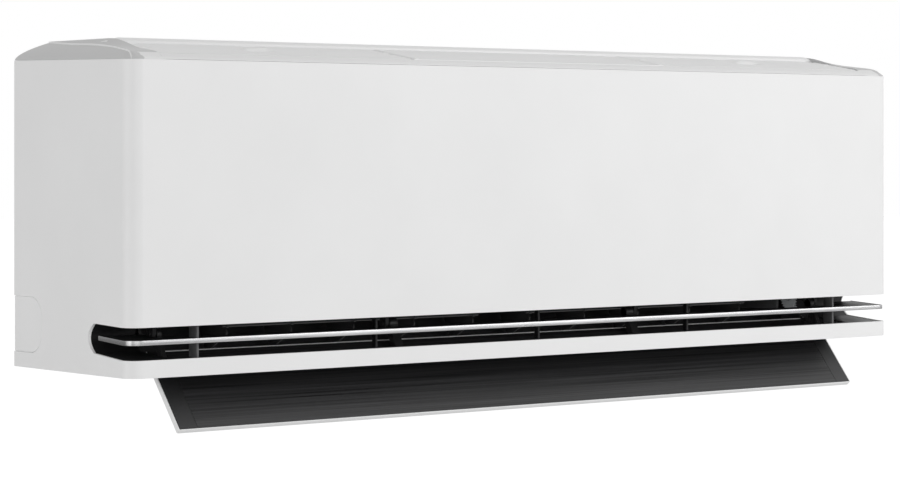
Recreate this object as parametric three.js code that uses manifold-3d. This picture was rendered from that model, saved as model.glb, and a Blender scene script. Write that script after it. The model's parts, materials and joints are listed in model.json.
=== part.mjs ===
// Wall-hung indoor unit of a split air conditioner, with its lower vane open.
// Millimetres, +Z up. X runs along the unit, the wall is the plane Y = 0 and the front faces -Y.
// The origin is the centre of the wall plate's back face.
// Outlines in a side view are written as [depth, height]: the depth is measured back from the
// front face, and the height up from the bottom edge of the cover.

import * as THREE from 'three';
import { mergeVertices } from 'three/addons/utils/BufferGeometryUtils.js';
import Module from 'manifold-3d';

const wasm = await Module();
wasm.setup();

// ---------------------------------------------------------------- driving dimensions

const BODY = { width: 1000, depth: 210, height: 291, crown: 314, corner: 15, wall: 2.5, edgeRise: 0.0165 };
const HALF = BODY.width / 2;
const GAP = 0.3;                                   // clearance between pieces that touch
const BACK = BODY.depth - 1;                       // depth of the cover's rear edge

const SLOT = { bottom: 16.3, top: 46.2, sideEnd: 62.5, bulge: 9, bottomRise: 0.086, topRise: 0.037 };
const BLADE = { bottom: 29.9, top: 34.4, inset: 1.5, trim: 1.2, depth: 26, sideEnd: 57, pad: 453 };
const OUTLET = { half: 449.5, front: 10, back: 104.5 };
const FLOOR_Z = SLOT.bottom - 0.4;
const CEILING_Z = SLOT.top + 0.5;

const VANE = { half: 443.5, chord: 90, thick: 6, skin: 2.2, rim: 1.2, panelHalf: 422 };
const VANE_OPEN = { tip: [10, -53.6], angle: THREE.MathUtils.degToRad(50.5) };
const ARM = { pivot: [60, 36], along: 69.32, above: 11, radius: 5.5, pin: 2, hole: 2.4 };
const SUPPORT_X = 153;                             // inner face of a middle support arm
const END_ARM_X = 431;                             // inner face of an end arm
const LUGS = { support: [164, 168], end: [437, 441] };

const FAN = { centre: [118, 146], radius: 47, left: -425, right: 365, blades: 18, shaft: 4 };
const MOTOR = { left: 376, right: 446, radius: 38 };
const GEAR = { centre: [90, 40], radius: 11.9, play: 0.5 };

const LOUVRE = { count: 5, first: 38, pitch: 76, thick: 1.6, foot: [133.5, 42], flow: [-0.489, -0.873] };
const EVAPORATOR = { left: -440, right: 352, thick: 22 };
const PLATE = { half: 440, bottom: 30, top: 272, sheet: 1.5 };
const ORIGIN_Z = (PLATE.bottom + PLATE.top) / 2;   // height of the origin above the bottom edge

const ARC_STEPS = 4;                               // facets in a quarter turn
const ROUND = 12;                                  // facets round a pin or pipe

// ---------------------------------------------------------------- materials

const paint = (name, color, roughness, metalness = 0) =>
  new THREE.MeshStandardMaterial({ name, color, roughness, metalness });

const WHITE = paint('white shell', 0xe9eaea, 0.42);
const TOP_WHITE = paint('top shell', 0xdcdddd, 0.5);
const BLACK = paint('black gloss', 0x0d0d0e, 0.15);
const SILVER = paint('silver trim', 0xc9cacb, 0.22, 0.9);
const GREY = paint('grey post', 0x58595b, 0.5);
const BRUSHED = paint('brushed panel', 0x232425, 0.4, 0.5);
const DARK = paint('dark plastic', 0x1b1c1d, 0.55);
const PALE = paint('inner plastic', 0xb9bcbd, 0.6);
const STEEL = paint('zinc steel', 0x9da1a4, 0.45, 0.8);
const FINS = paint('aluminium fins', 0xa9b3b8, 0.5, 0.7);
const COPPER = paint('copper', 0xb36a3c, 0.35, 0.9);
const BOARD = paint('circuit board', 0x1e5a34, 0.5);

// ---------------------------------------------------------------- outlines

const flat = (u, v) => new THREE.Vector2(u, v);

/** Closed outline from corner points; a third number in a point rounds that corner. */
function corners(points) {
  return points.flatMap(([u, v, radius = 0], i) => {
    const here = flat(u, v);
    if (radius === 0) return [here];
    const toward = (j) => flat(...points.at(j % points.length).slice(0, 2)).sub(here).normalize();
    const before = toward(i - 1);
    const after = toward(i + 1);
    const half = Math.acos(before.dot(after)) / 2;
    const middle = before.clone().add(after).normalize();
    const centre = middle.multiplyScalar(radius / Math.sin(half)).add(here);
    const start = before.multiplyScalar(radius / Math.tan(half)).add(here).sub(centre);
    const end = after.multiplyScalar(radius / Math.tan(half)).add(here).sub(centre);
    const turn = Math.atan2(start.cross(end), start.dot(end));
    const steps = Math.max(2, Math.ceil((Math.abs(turn) / (Math.PI / 2)) * ARC_STEPS));
    return Array.from({ length: steps + 1 }, (_, k) =>
      start.clone().rotateAround(flat(0, 0), (turn * k) / steps).add(centre));
  });
}

/** Circle as an outline. */
const ring = (u, v, radius, steps = ROUND) => Array.from({ length: steps }, (_, k) =>
  flat(u + radius * Math.cos((2 * Math.PI * k) / steps), v + radius * Math.sin((2 * Math.PI * k) / steps)));

/** Outline of a sheet that follows a line of points, with its thickness to the left of the run. */
function sheet(line, thickness) {
  const points = line.map((p) => (p.isVector2 ? p : flat(...p)));
  const side = points.map((point, i) => {
    const back = points[Math.max(i - 1, 0)];
    const ahead = points[Math.min(i + 1, points.length - 1)];
    const into = point === back ? ahead.clone().sub(point) : point.clone().sub(back);
    const out = point === ahead ? point.clone().sub(back) : ahead.clone().sub(point);
    const mid = into.normalize().add(out.normalize()).normalize();
    const stretch = 1 / Math.max(mid.dot(out), 0.5);
    return flat(-mid.y, mid.x).multiplyScalar(thickness * stretch).add(point);
  });
  return [...points, ...side.reverse()];
}

/** Smooth line through points. */
const smooth = (points, steps) => new THREE.SplineCurve(points.map((p) => flat(...p))).getPoints(steps);

/** Outline of a bar with round ends between two points. */
function capsule([u0, v0], [u1, v1], radius) {
  const lean = Math.atan2(v1 - v0, u1 - u0);
  const half = (u, v, start) => Array.from({ length: 9 }, (_, k) => {
    const angle = start + (Math.PI * k) / 8;
    return flat(u + radius * Math.cos(angle), v + radius * Math.sin(angle));
  });
  return [...half(u1, v1, lean - Math.PI / 2), ...half(u0, v0, lean + Math.PI / 2)];
}

// ---------------------------------------------------------------- solids

/** A manifold solid from any closed three.js geometry. */
function solid(geometry) {
  const bare = new THREE.BufferGeometry();
  bare.setAttribute('position', geometry.getAttribute('position').clone());
  if (geometry.index) bare.setIndex(geometry.index.clone());
  const merged = mergeVertices(bare, 1e-4);
  const faces = [];
  for (let i = 0; i < merged.index.count; i += 3) {
    const [a, b, c] = [0, 1, 2].map((k) => merged.index.getX(i + k));
    if (a !== b && b !== c && c !== a) faces.push(a, b, c);
  }
  const vertProperties = Float32Array.from(merged.getAttribute('position').array);
  return new wasm.Manifold(new wasm.Mesh({ numProp: 3, vertProperties, triVerts: Uint32Array.from(faces) }));
}

const join = (...solids) => solids.flat().reduce((whole, next) => whole.add(next));
const cut = (whole, ...tools) => tools.flat().reduce((rest, tool) => rest.subtract(tool), whole);

/** The outline of points always turns the same way, so that its solid is never inside out. */
function extrude(outline, depth) {
  const points = THREE.ShapeUtils.isClockWise(outline) ? [...outline].reverse() : outline;
  return new THREE.ExtrudeGeometry(new THREE.Shape(points), { depth, bevelEnabled: false, steps: 1 });
}

const AXES = {
  x: new THREE.Matrix4().makeBasis(
    new THREE.Vector3(0, 1, 0), new THREE.Vector3(0, 0, 1), new THREE.Vector3(1, 0, 0)),
  y: new THREE.Matrix4().makeBasis(
    new THREE.Vector3(-1, 0, 0), new THREE.Vector3(0, 0, 1), new THREE.Vector3(0, 1, 0)),
};

/** Side-view outline [depth, height] carried from x0 to x1. */
function alongX(outline, x0, x1) {
  const geometry = extrude(outline, x1 - x0).applyMatrix4(AXES.x);
  return solid(geometry.translate(x0, -BODY.depth, 0));
}

/** Front-view outline [x, height] carried from one depth to another. */
function alongDepth(outline, d0, d1) {
  const mirrored = outline.map((p) => flat(-p.x, p.y));
  const geometry = extrude(mirrored, d1 - d0).applyMatrix4(AXES.y);
  return solid(geometry.translate(0, d0 - BODY.depth, 0));
}

/** Plan outline [x, depth] carried from one height to another. */
function alongZ(outline, z0, z1) {
  return solid(extrude(outline, z1 - z0).translate(0, -BODY.depth, z0));
}

/** Box between two x, two depths and two heights. */
function block([x0, x1], [d0, d1], [z0, z1]) {
  const box = new THREE.BoxGeometry(x1 - x0, d1 - d0, z1 - z0);
  return solid(box.translate((x0 + x1) / 2, (d0 + d1) / 2 - BODY.depth, (z0 + z1) / 2));
}

/** Round bar along X about a [depth, height] centre. */
const barX = ([d, z], radius, x0, x1, steps = ROUND) => alongX(ring(d, z, radius, steps), x0, x1);

/** Solid of revolution about the X axis through a [depth, height] centre: profile of [radius, x]. */
function turnedX([d, z], profile, steps = 32) {
  const lathe = new THREE.LatheGeometry(profile.map((p) => flat(...p)), steps);
  return solid(lathe.rotateZ(-Math.PI / 2).translate(0, d - BODY.depth, z));
}

/** Round tube that follows points [x, depth, height]. */
function tube(points, radius, steps, sides = 12) {
  const route = new THREE.CatmullRomCurve3(
    points.map(([x, d, z]) => new THREE.Vector3(x, d - BODY.depth, z)), false, 'centripetal');
  const section = new THREE.Shape(ring(0, 0, radius, sides));
  return solid(new THREE.ExtrudeGeometry(section, { steps, extrudePath: route, bevelEnabled: false }));
}

const root = new THREE.Group();
const model = new THREE.Group();
model.position.z = -ORIGIN_Z;
root.add(model);

/** Adds a finished solid to the model as a named mesh. */
function add(name, whole, material, parent = model) {
  const { vertProperties, triVerts } = whole.getMesh();
  const geometry = new THREE.BufferGeometry();
  geometry.setAttribute('position', new THREE.BufferAttribute(Float32Array.from(vertProperties), 3));
  geometry.setIndex(new THREE.BufferAttribute(Uint32Array.from(triVerts), 1));
  geometry.computeVertexNormals();
  const mesh = new THREE.Mesh(geometry, material);
  mesh.name = name;
  parent.add(mesh);
}

const SIDES = [['left', -1], ['right', 1]];
/** A range of x, mirrored to the side with the given sign. */
const mirror = (sign, a, b) => (sign > 0 ? [a, b] : [-b, -a]);

// ---------------------------------------------------------------- shared curves

/** Plan outline of the unit at a distance inside its outer face, back to a given depth. */
const plan = (inset, back) => corners([
  [-HALF + inset, back], [-HALF + inset, inset, BODY.corner - inset],
  [HALF - inset, inset, BODY.corner - inset], [HALF - inset, back],
]);

/** U-shaped wall between two insets. */
const wallU = (inset, thickness, back, z0, z1) =>
  cut(alongZ(plan(inset, back), z0, z1), alongZ(plan(inset + thickness, back + 5), z0 - 1, z1 + 1));

/** On the sides the slot and the blade climb towards the wall. */
function climb(depth, height) {
  const share = (height - SLOT.bottom) / (SLOT.top - SLOT.bottom);
  const rise = THREE.MathUtils.lerp(SLOT.bottomRise, SLOT.topRise, share);
  return height + rise * Math.max(0, depth - BODY.corner);
}

/** Side view of the slot, grown by a margin, with its bowed rear end. */
function slotOutline(front, margin) {
  const bottom = SLOT.bottom - margin;
  const top = SLOT.top + margin;
  const bow = smooth([
    [SLOT.sideEnd, climb(SLOT.sideEnd, bottom)],
    [SLOT.sideEnd + SLOT.bulge * 0.8 + margin, climb(SLOT.sideEnd, bottom + 7)],
    [SLOT.sideEnd + SLOT.bulge + margin, climb(SLOT.sideEnd, (bottom + top) / 2)],
    [SLOT.sideEnd + SLOT.bulge * 0.8 + margin, climb(SLOT.sideEnd, top - 7)],
    [SLOT.sideEnd, climb(SLOT.sideEnd, top)],
  ], 12);
  const straight = [[front, bottom], [BODY.corner, bottom]].map((p) => flat(...p));
  return [...straight, ...bow, flat(BODY.corner, top), flat(front, top)];
}

/** Lifts the points of a flat blade so that its wings climb. */
function climbing(whole) {
  return whole.warp((point) => {
    point[2] = climb(point[1] + BODY.depth, point[2]);
  });
}

// ---------------------------------------------------------------- casing

const KNOCKOUT = { front: 157, back: 208, bottom: 15, top: 68, nose: 20 };
const knockoutOutline = (grow) => corners([
  [KNOCKOUT.back + (grow > 0 ? 5 : 0), KNOCKOUT.bottom - grow],
  [KNOCKOUT.front - grow, KNOCKOUT.bottom - grow, KNOCKOUT.nose],
  [KNOCKOUT.front - grow, KNOCKOUT.top + grow, KNOCKOUT.nose],
  [KNOCKOUT.back + (grow > 0 ? 5 : 0), KNOCKOUT.top + grow],
]);

/** Tilts the upper parts of a solid, because the side's top edge rises towards the wall. */
function rising(whole) {
  return whole.warp((point) => {
    const depth = point[1] + BODY.depth;
    if (point[2] > TOP_FLOOR) point[2] += BODY.edgeRise * Math.max(0, depth - BODY.corner);
  });
}

function frontCover() {
  const shell = rising(wallU(0, BODY.wall, BACK, 0, BODY.height));
  const mouth = block([-HALF - 5, HALF + 5], [-5, BODY.corner - 2], [SLOT.bottom, SLOT.top]);
  const ends = SIDES.map(([, sign]) =>
    alongX(slotOutline(BODY.corner - 3, 0), ...mirror(sign, HALF - 20, HALF + 5)));
  const knockouts = SIDES.map(([, sign]) =>
    alongX(knockoutOutline(GAP), ...mirror(sign, HALF - 20, HALF + 5)));
  add('front_cover', cut(shell, mouth, ends, knockouts), WHITE);
  for (const [side, sign] of SIDES) {
    const cover = alongX(knockoutOutline(0), ...mirror(sign, HALF - BODY.wall, HALF));
    add(`knockout_cover_${side}`, cover, WHITE);
  }
}

const RIM = { z: 297, nose: 6, back: 13 };         // front rim of the top frame
const RIDGE = { front: 84, back: 104, half: 461 };
const END_BLOCK = 462;                             // inner face of an end block
const RIB = { x: 162, half: 4 };                   // ribs between the filter bays
const TOP_FLOOR = 286;

/** Side view of an end block's top: a low slope in front, then up to a dome that ends at the wall. */
const END_TOP = [
  [0.6, BODY.height + 0.4], [RIM.nose, RIM.z], [16, 298.6], [39, 301.8], [66, 304.8], [90, 308.5],
  [113, 313], [BACK, 313.4],
];
/** Front view of its outer shoulder as [inset, rise]: steep at the cover and flatter further in. */
const SHOULDER = [
  [0.7, 0.4], [2, 2.6], [5.4, 5.3], [12, 8.8], [20, 12.1], [30, 15.5], [38, 17.9], [45, 19.5],
];
const CLEAR_SKY = 330;                             // height above everything, for cutting tools

function topFrame() {
  const inner = BODY.wall;
  const skirt = [[BACK, TOP_FLOOR], [inner, TOP_FLOOR], [inner, BODY.height + 0.4]];
  const endView = [...END_TOP, ...skirt].map((p) => flat(...p));
  const ends = SIDES.map(([, sign]) => {
    const shoulder = SHOULDER.map(([inset, rise]) => [HALF - inset, BODY.height + rise]);
    const above = [[shoulder.at(-1)[0], CLEAR_SKY], [HALF + 20, CLEAR_SKY], [HALF + 20, shoulder[0][1]]];
    const outline = [...shoulder, ...above].map(([x, z]) => flat(sign * x, z));
    const cutter = rising(alongDepth(outline, -5, BODY.depth + 5));
    return cut(alongX(endView, ...mirror(sign, END_BLOCK, HALF - 0.6)), cutter);
  });
  const front = alongX(corners([
    [0.6, BODY.height + 0.4], [RIM.nose, RIM.z], [RIM.back, RIM.z], [RIM.back, TOP_FLOOR + 2],
    [inner, TOP_FLOOR + 2], [inner, BODY.height + 0.4],
  ]), -END_BLOCK - 5, END_BLOCK + 5);
  const ridge = alongX(corners([
    [RIDGE.front, 302], [RIDGE.front, 310, 1], [88, 313.2], [93, BODY.crown], [98, 313.4],
    [RIDGE.back, 309, 1], [RIDGE.back, 302],
  ]), -RIDGE.half - 3, RIDGE.half + 3);
  const rear = alongX(corners([[186, 300.5], [197, 298], [BACK, 294.6], [BACK, TOP_FLOOR + 1],
    [186, TOP_FLOOR + 1]]), -END_BLOCK - 5, END_BLOCK + 5);
  const ribLine = [[10, 293], [18, 299.4], [30, 301.2], [60, 305.6], [RIDGE.front + 2, 309.6],
    [RIDGE.front + 8, 309.6], [RIDGE.front + 8, TOP_FLOOR + 3], [10, TOP_FLOOR + 3]];
  const ribs = [-RIB.x, RIB.x].map((x) =>
    alongX(ribLine.map((p) => flat(...p)), x - RIB.half, x + RIB.half));
  const centre = alongX(sheet([[11, 297.2], [30, 300.3], [60, 305], [RIDGE.front + 2, 308.8]], -2.2),
    -RIB.x, RIB.x);
  const footprint = alongZ(plan(0.7, BACK - 0.2), TOP_FLOOR - 5, BODY.crown + 5);
  const coverWall = rising(wallU(-1, BODY.wall + 1.6, BACK + 2, TOP_FLOOR - 5, BODY.height + GAP));
  const whole = join(ends, front, ridge, rear, ribs, centre).intersect(footprint);
  add('top_frame', cut(whole, coverWall), TOP_WHITE);
}

const GRILLE = { half: 461, front: 104.4, back: 185.5, slats: 7, rails: 9 };

/** Height of the grille's arch at a depth. */
const grilleTop = (depth) => 307.5 - (depth - GRILLE.front) ** 2 * 0.0008;

function intakeGrille() {
  const { half, front, back, slats, rails } = GRILLE;
  const slatBars = Array.from({ length: slats }, (_, k) => {
    const d = THREE.MathUtils.lerp(front, back, (k + 0.5) / slats);
    return block([-half, half], [d - 1.2, d + 1.2], [grilleTop(d) - 6, grilleTop(d)]);
  });
  const line = Array.from({ length: 9 }, (_, k) => THREE.MathUtils.lerp(front, back, k / 8))
    .map((d) => [d, grilleTop(d) - 1.5]);
  const railBars = Array.from({ length: rails }, (_, k) => {
    const x = THREE.MathUtils.lerp(-half + 2, half - 2, k / (rails - 1));
    return alongX(sheet(line, -3), x - 1.5, x + 1.5);
  });
  add('intake_grille', join(slatBars, railBars), TOP_WHITE);
}

const FILTER = { inner: 167, outer: 461, front: 14, back: 83.3, thick: 2.4, tab: 326 };

function preFilters() {
  const slope = [[FILTER.front, 297.8], [34, 301], [60, 305.1], [FILTER.back, 308.6]];
  const tabLine = [[44, 301.6], [48, 306.4], [56, 307.2], [62, 304.2]];
  for (const [side, sign] of SIDES) {
    const panel = alongX(sheet(slope, -FILTER.thick), ...mirror(sign, FILTER.inner, FILTER.outer));
    const tab = alongX(tabLine.map((p) => flat(...p)), ...mirror(sign, FILTER.tab - 16, FILTER.tab + 16));
    add(`pre_filter_${side}`, join(panel, tab), TOP_WHITE);
  }
}

const BUTTON = { x: 464, depth: 84, radius: 4.2 };
const SCREW = { x: 474, depth: 30 };

/** Plan outline of a disc. */
const disc = (x, depth, radius, z0, z1) => alongZ(ring(x, depth, radius), z0, z1);

function bottomCover() {
  const plate = alongZ(plan(BODY.wall + GAP, 200), GAP, 2.8);
  const opening = block([-OUTLET.half, OUTLET.half], [OUTLET.front, OUTLET.back], [-1, 5]);
  const buttonHole = disc(BUTTON.x, BUTTON.depth, BUTTON.radius + GAP, -1, 5);
  const screwHoles = SIDES.map(([, sign]) => disc(sign * SCREW.x, SCREW.depth, 2.4, -1, 5));
  add('bottom_cover', cut(plate, opening, buttonHole, screwHoles), WHITE);
  const button = join(
    disc(BUTTON.x, BUTTON.depth, BUTTON.radius, -0.9, 4),
    disc(BUTTON.x, BUTTON.depth, BUTTON.radius + 2, 2.8 + GAP, 4.4),
  );
  add('power_button', button, PALE);
  for (const [side, sign] of SIDES) {
    const screw = join(
      disc(sign * SCREW.x, SCREW.depth, 3.8, -1.6, -0.1),
      disc(sign * SCREW.x, SCREW.depth, 2, -0.6, 11),
    );
    add(`cover_screw_${side}`, screw, STEEL);
  }
}

// ---------------------------------------------------------------- slot and blade

const POST = { x: 420, half: 1.3, front: 10, back: 23.5 };
const THIN_POST = { x: 207, half: 1.3, front: 18, back: 24 };

function slotLiner() {
  const face = SLOT.sideEnd + SLOT.bulge;
  const path = slotOutline(BODY.wall + 0.5, 0.5);
  const ends = SIDES.map(([, sign]) =>
    alongX(sheet(path, -2.2), ...mirror(sign, OUTLET.half, HALF - BODY.wall - 0.6)));
  const floor = block([-OUTLET.half - 2, OUTLET.half + 2], [BODY.wall + 0.5, 20], [FLOOR_Z - 2.2, FLOOR_Z]);
  const ceiling = block([-OUTLET.half - 2, OUTLET.half + 2], [BODY.wall + 0.5, 28],
    [CEILING_Z, CEILING_Z + 2.2]);
  const footprint = alongZ(plan(BODY.wall + GAP, face + 20), 0, 80);
  add('slot_liner', join(ends, floor, ceiling).intersect(footprint), BLACK);
  for (const [side, sign] of SIDES) {
    const x = mirror(sign, POST.x - POST.half, POST.x + POST.half);
    const post = block(x, [POST.front, POST.back], [FLOOR_Z + GAP, CEILING_Z - GAP]);
    add(`blade_post_${side}`, post, GREY);
  }
}

function blade() {
  const { inset, trim, depth, sideEnd, pad, bottom, top } = BLADE;
  const trimStrip = wallU(inset, trim, sideEnd, bottom, top);
  add('blade_trim', climbing(trimStrip), SILVER);

  const plate = cut(
    alongZ(plan(inset + trim + GAP, sideEnd - 0.5), bottom + 0.4, top - 0.4),
    block([-pad, pad], [depth, BODY.depth], [bottom - 1, top + 1]),
    SIDES.map(([, sign]) => block(mirror(sign, POST.x - POST.half - GAP, POST.x + POST.half + GAP),
      [POST.front - GAP, POST.back + GAP], [bottom - 1, top + 1])),
  );
  const posts = [-THIN_POST.x, 0, THIN_POST.x].map((x) =>
    block([x - THIN_POST.half, x + THIN_POST.half], [THIN_POST.front, THIN_POST.back],
      [FLOOR_Z - 2, CEILING_Z - GAP]));
  const clearOfFloor = block([-HALF, HALF], [0, 20 + GAP], [0, FLOOR_Z + GAP]);
  add('blade_plate', cut(join(climbing(plate), posts), clearOfFloor), BLACK);
}

// ---------------------------------------------------------------- lower vane and its arms

/** Point on the open vane: distance back from its front edge, and above its outer skin. */
function onVane(along, above) {
  const { tip, angle } = VANE_OPEN;
  return [tip[0] + along * Math.cos(angle) - above * Math.sin(angle),
    tip[1] + along * Math.sin(angle) + above * Math.cos(angle)];
}

/** Closed outline in the vane's own side view, set at its open angle. */
const vaneOutline = (points) => points.map(([along, above]) => flat(...onVane(along, above)));
const vaneBox = (a0, a1, w0, w1) => vaneOutline([[a0, w0], [a1, w0], [a1, w1], [a0, w1]]);
const ARM_PIN = onVane(ARM.along, ARM.above);

/** Ear on the vane's inner face, with the hole that an arm's pin turns in. */
function vaneLug(x0, x1) {
  const { along, above, radius, hole } = ARM;
  const ear = capsule(onVane(along - 4, VANE.skin + GAP + radius), onVane(along, above), radius - 0.3);
  return cut(alongX(ear, x0, x1), barX(ARM_PIN, hole, x0 - 1, x1 + 1));
}

/** Shell, panel and end pieces of the vane. */
function lowerVane() {
  const { half, chord, thick, skin, rim, panelHalf } = VANE;
  const body = alongX(vaneOutline([[0.8, 0], [chord - 0.8, 0], [chord, 0.8], [chord, thick],
    [0, thick], [0, 0.8]]), -half, half);
  const tray = alongX(vaneBox(rim, chord - rim, skin, thick + 5), -half + rim, half - rim);
  add('vane_shell', cut(body, tray), WHITE);

  const inside = [rim + GAP, chord - rim - GAP, skin + GAP, thick - 0.1];
  const lugs = SIDES.map(([, sign]) => vaneLug(...mirror(sign, ...LUGS.support)));
  add('vane_panel', join(alongX(vaneBox(...inside), -panelHalf, panelHalf), lugs), BRUSHED);

  for (const [side, sign] of SIDES) {
    const strip = alongX(vaneBox(...inside), ...mirror(sign, panelHalf + GAP, half - rim - GAP));
    const lug = vaneLug(...mirror(sign, ...LUGS.end));
    const button = alongX(vaneBox(81, 87, thick - 1, thick + 2), ...mirror(sign, 424, 430));
    add(`vane_end_${side}`, join(strip, lug, button), DARK);
  }
}

/** An arm between the fixed pivot and the vane, with a pin at each end. */
function vaneArm(name, sign, inner, width) {
  const outer = inner + width;
  const bar = alongX(capsule(ARM.pivot, ARM_PIN, 4.4), ...mirror(sign, inner, outer));
  const hub = barX(ARM.pivot, ARM.radius, ...mirror(sign, inner, outer));
  const pins = [ARM.pivot, ARM_PIN].map((centre) =>
    barX(centre, ARM.pin, ...mirror(sign, outer - 1, outer + 5)));
  const parts = [bar, hub, ...pins];
  if (name === 'vane_arm_right') {
    const reach = Math.hypot(GEAR.centre[0] - ARM.pivot[0], GEAR.centre[1] - ARM.pivot[1]);
    const radius = reach - GEAR.radius - GEAR.play;
    const fan = Array.from({ length: 11 }, (_, k) => {
      const angle = THREE.MathUtils.degToRad(-70 + 9 * k);
      return flat(ARM.pivot[0] + radius * Math.cos(angle), ARM.pivot[1] + radius * Math.sin(angle));
    });
    parts.push(alongX([flat(...ARM.pivot), ...fan], ...mirror(sign, inner, outer)));
  }
  add(name, join(parts), DARK);
}

/** The four arms, and the motor and gear that turn them. */
function vaneDrive() {
  for (const [side, sign] of SIDES) {
    vaneArm(`vane_support_${side}`, sign, SUPPORT_X, 10);
    vaneArm(`vane_arm_${side}`, sign, END_ARM_X, 5);
  }
  const { centre, radius } = GEAR;
  const inner = END_ARM_X;
  const gear = cut(barX(centre, radius, inner, inner + 5, 28), barX(centre, 2.8, inner - 1, inner + 6));
  add('drive_gear', gear, PALE);
  const motor = join(
    barX(centre, GEAR.radius, 445, 463, 28),
    barX(centre, 2.4, inner + 0.5, 446),
    block([445, 447], [centre[0] - 18, centre[0] + 18], [centre[1] - 4, centre[1] + 4]),
  );
  add('vane_motor', motor, STEEL);
}

// ---------------------------------------------------------------- air path

const SCROLL = [[156, 184.5], [166, 174], [172, 158], [174, 142], [171, 122], [163, 100], [151, 76],
  [138, 50], [125, 27], [114, 8]];

/** Point beside the air duct's rear wall: distance out from the wall and along the flow. */
function besideScroll(out, along) {
  const [fd, fz] = LOUVRE.flow;
  return [LOUVRE.foot[0] + out * fz + along * fd, LOUVRE.foot[1] - out * fd + along * fz];
}

/** Round pin square to the duct's rear wall at x, between two distances out from it. */
function louvrePin(x, radius, out0, out1) {
  const axis = new THREE.Vector3(0, LOUVRE.flow[1], -LOUVRE.flow[0]);
  const [d, z] = besideScroll((out0 + out1) / 2, 0);
  const pin = new THREE.CylinderGeometry(radius, radius, out1 - out0, ROUND);
  pin.applyQuaternion(new THREE.Quaternion().setFromUnitVectors(new THREE.Vector3(0, 1, 0), axis));
  return solid(pin.translate(x, d - BODY.depth, z));
}

const louvreXs = Array.from({ length: LOUVRE.count }, (_, k) => LOUVRE.first + LOUVRE.pitch * k);

function rearChassis() {
  const full = OUTLET.half - 0.5;
  const scroll = alongX(sheet(smooth(SCROLL, 30), 2.6), -full, full);
  const trough = alongX(sheet([[156, 184.5], [176, 190], [202, 212]], -2.4), -full, full);
  const back = block([-484, 484], [199, 202], [12, 284]);
  const lip = block([-full, full], [114, 202], [5.8, 8]);
  const ends = SIDES.map(([, sign]) => alongX(
    corners([[78, 3.4], [201, 3.4], [201, 284], [14, 284], [14, 112], [78, 112]]),
    ...mirror(sign, 474, 476.5)));
  const bearingWall = alongX(corners([[84, 60], [132, 60], [170, 120], [172, 186], [84, 186]]), -441, -438);
  const leftSide = alongX(corners([[78, 30], [125, 30], [134, 62], [84, 62]]), -441, -438);
  const rightSide = alongZ(corners([[400, 78], [403, 78], [375, 152], [372, 152]]), 30, 64);
  const fanWall = cut(
    alongX(corners([[84, 60], [156, 60], [174, 120], [174, 186], [84, 186]]), 369, 372),
    barX(FAN.centre, 12, 360, 380));
  const cradle = cut(
    block([392, 400], [100, 150], [52, 140]), barX(FAN.centre, MOTOR.radius + GAP, 380, 410, 32));
  const hookSlots = SIDES.map(([, sign]) =>
    block(mirror(sign, 280, 320), [195, 205], [238, 262]));
  const pins = SIDES.flatMap(([, sign]) => louvreXs.map((x) =>
    louvrePin(sign * x, ARM.hole, -8, 6)));
  const pipeHole = barX([186, 40], 16, 470, 480);
  const motorBay = block([372.5, full + 1], [78, 199 - GAP], [62, 230]);
  const casing = cut(join(scroll, trough), motorBay);
  const whole = join(casing, back, lip, ends, bearingWall, leftSide, rightSide, fanWall, cradle);
  add('rear_chassis', cut(whole, hookSlots, pins, pipeHole), PALE);
}

/** Front wall of the air duct, with the lugs that carry the arms. */
function ductFrontWall() {
  const wall = alongX(sheet(smooth([[29, 50.4], [44, 56], [60, 66], [72, 80]], 10), 2.4), -448.5, 448.5);
  const lug = corners([[55, 36, 4.9], [55, 62.5], [65, 72], [65, 31, 4.9], [55, 31, 4.9]]);
  const places = SIDES.flatMap(([, sign]) => Object.values(LUGS).map((x) => mirror(sign, ...x)));
  const lugs = places.map(([a, b]) => alongX(lug, a, b));
  const holes = places.map(([a, b]) => barX(ARM.pivot, ARM.hole, a - 1, b + 1));
  add('duct_front_wall', cut(join(wall, lugs), holes), BLACK);
}

function drainPan() {
  const pan = alongX(sheet([[16, 112], [16, 92], [66, 88], [72, 96], [80, 108]], 2.4), -470, 366);
  const caps = [[-470, -467.6], [363.6, 366]].map(([a, b]) =>
    alongX(corners([[16, 112], [16, 90], [66, 86.5], [72, 95], [80, 108]]), a, b));
  const spout = disc(-458, 40, 9, 66, 91);
  const bore = disc(-458, 40, 7, 60, 96);
  add('drain_pan', cut(join(pan, caps, spout), bore), PALE);
}

function louvres() {
  const fin = [[3, -6], [45, -6], [45, 38], [3, 38]].map(([out, along]) => besideScroll(out, along));
  const bar = [[46, 28], [49, 28], [49, 31], [46, 31]].map((p) => flat(...besideScroll(...p)));
  for (const [side, sign] of SIDES) {
    louvreXs.forEach((x, k) => {
      const at = sign * x;
      const rounded = corners(fin.map((p) => [...p, 5]));
      const plate = alongX(rounded, at - LOUVRE.thick / 2, at + LOUVRE.thick / 2);
      add(`louvre_${side}_${k + 1}`, join(plate, louvrePin(at, ARM.pin, -4, 6)), DARK);
    });
    const last = louvreXs.at(-1);
    add(`louvre_link_${side}`, alongX(bar, ...mirror(sign, LOUVRE.first - 6, last + 6)), DARK);
    const at = sign * last;
    add(`louvre_motor_${side}`, join(louvrePin(at, 13, -24, -6), louvrePin(at, 4, -6.5, -4.6)), STEEL);
  }
}

// ---------------------------------------------------------------- fan and motor

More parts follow.
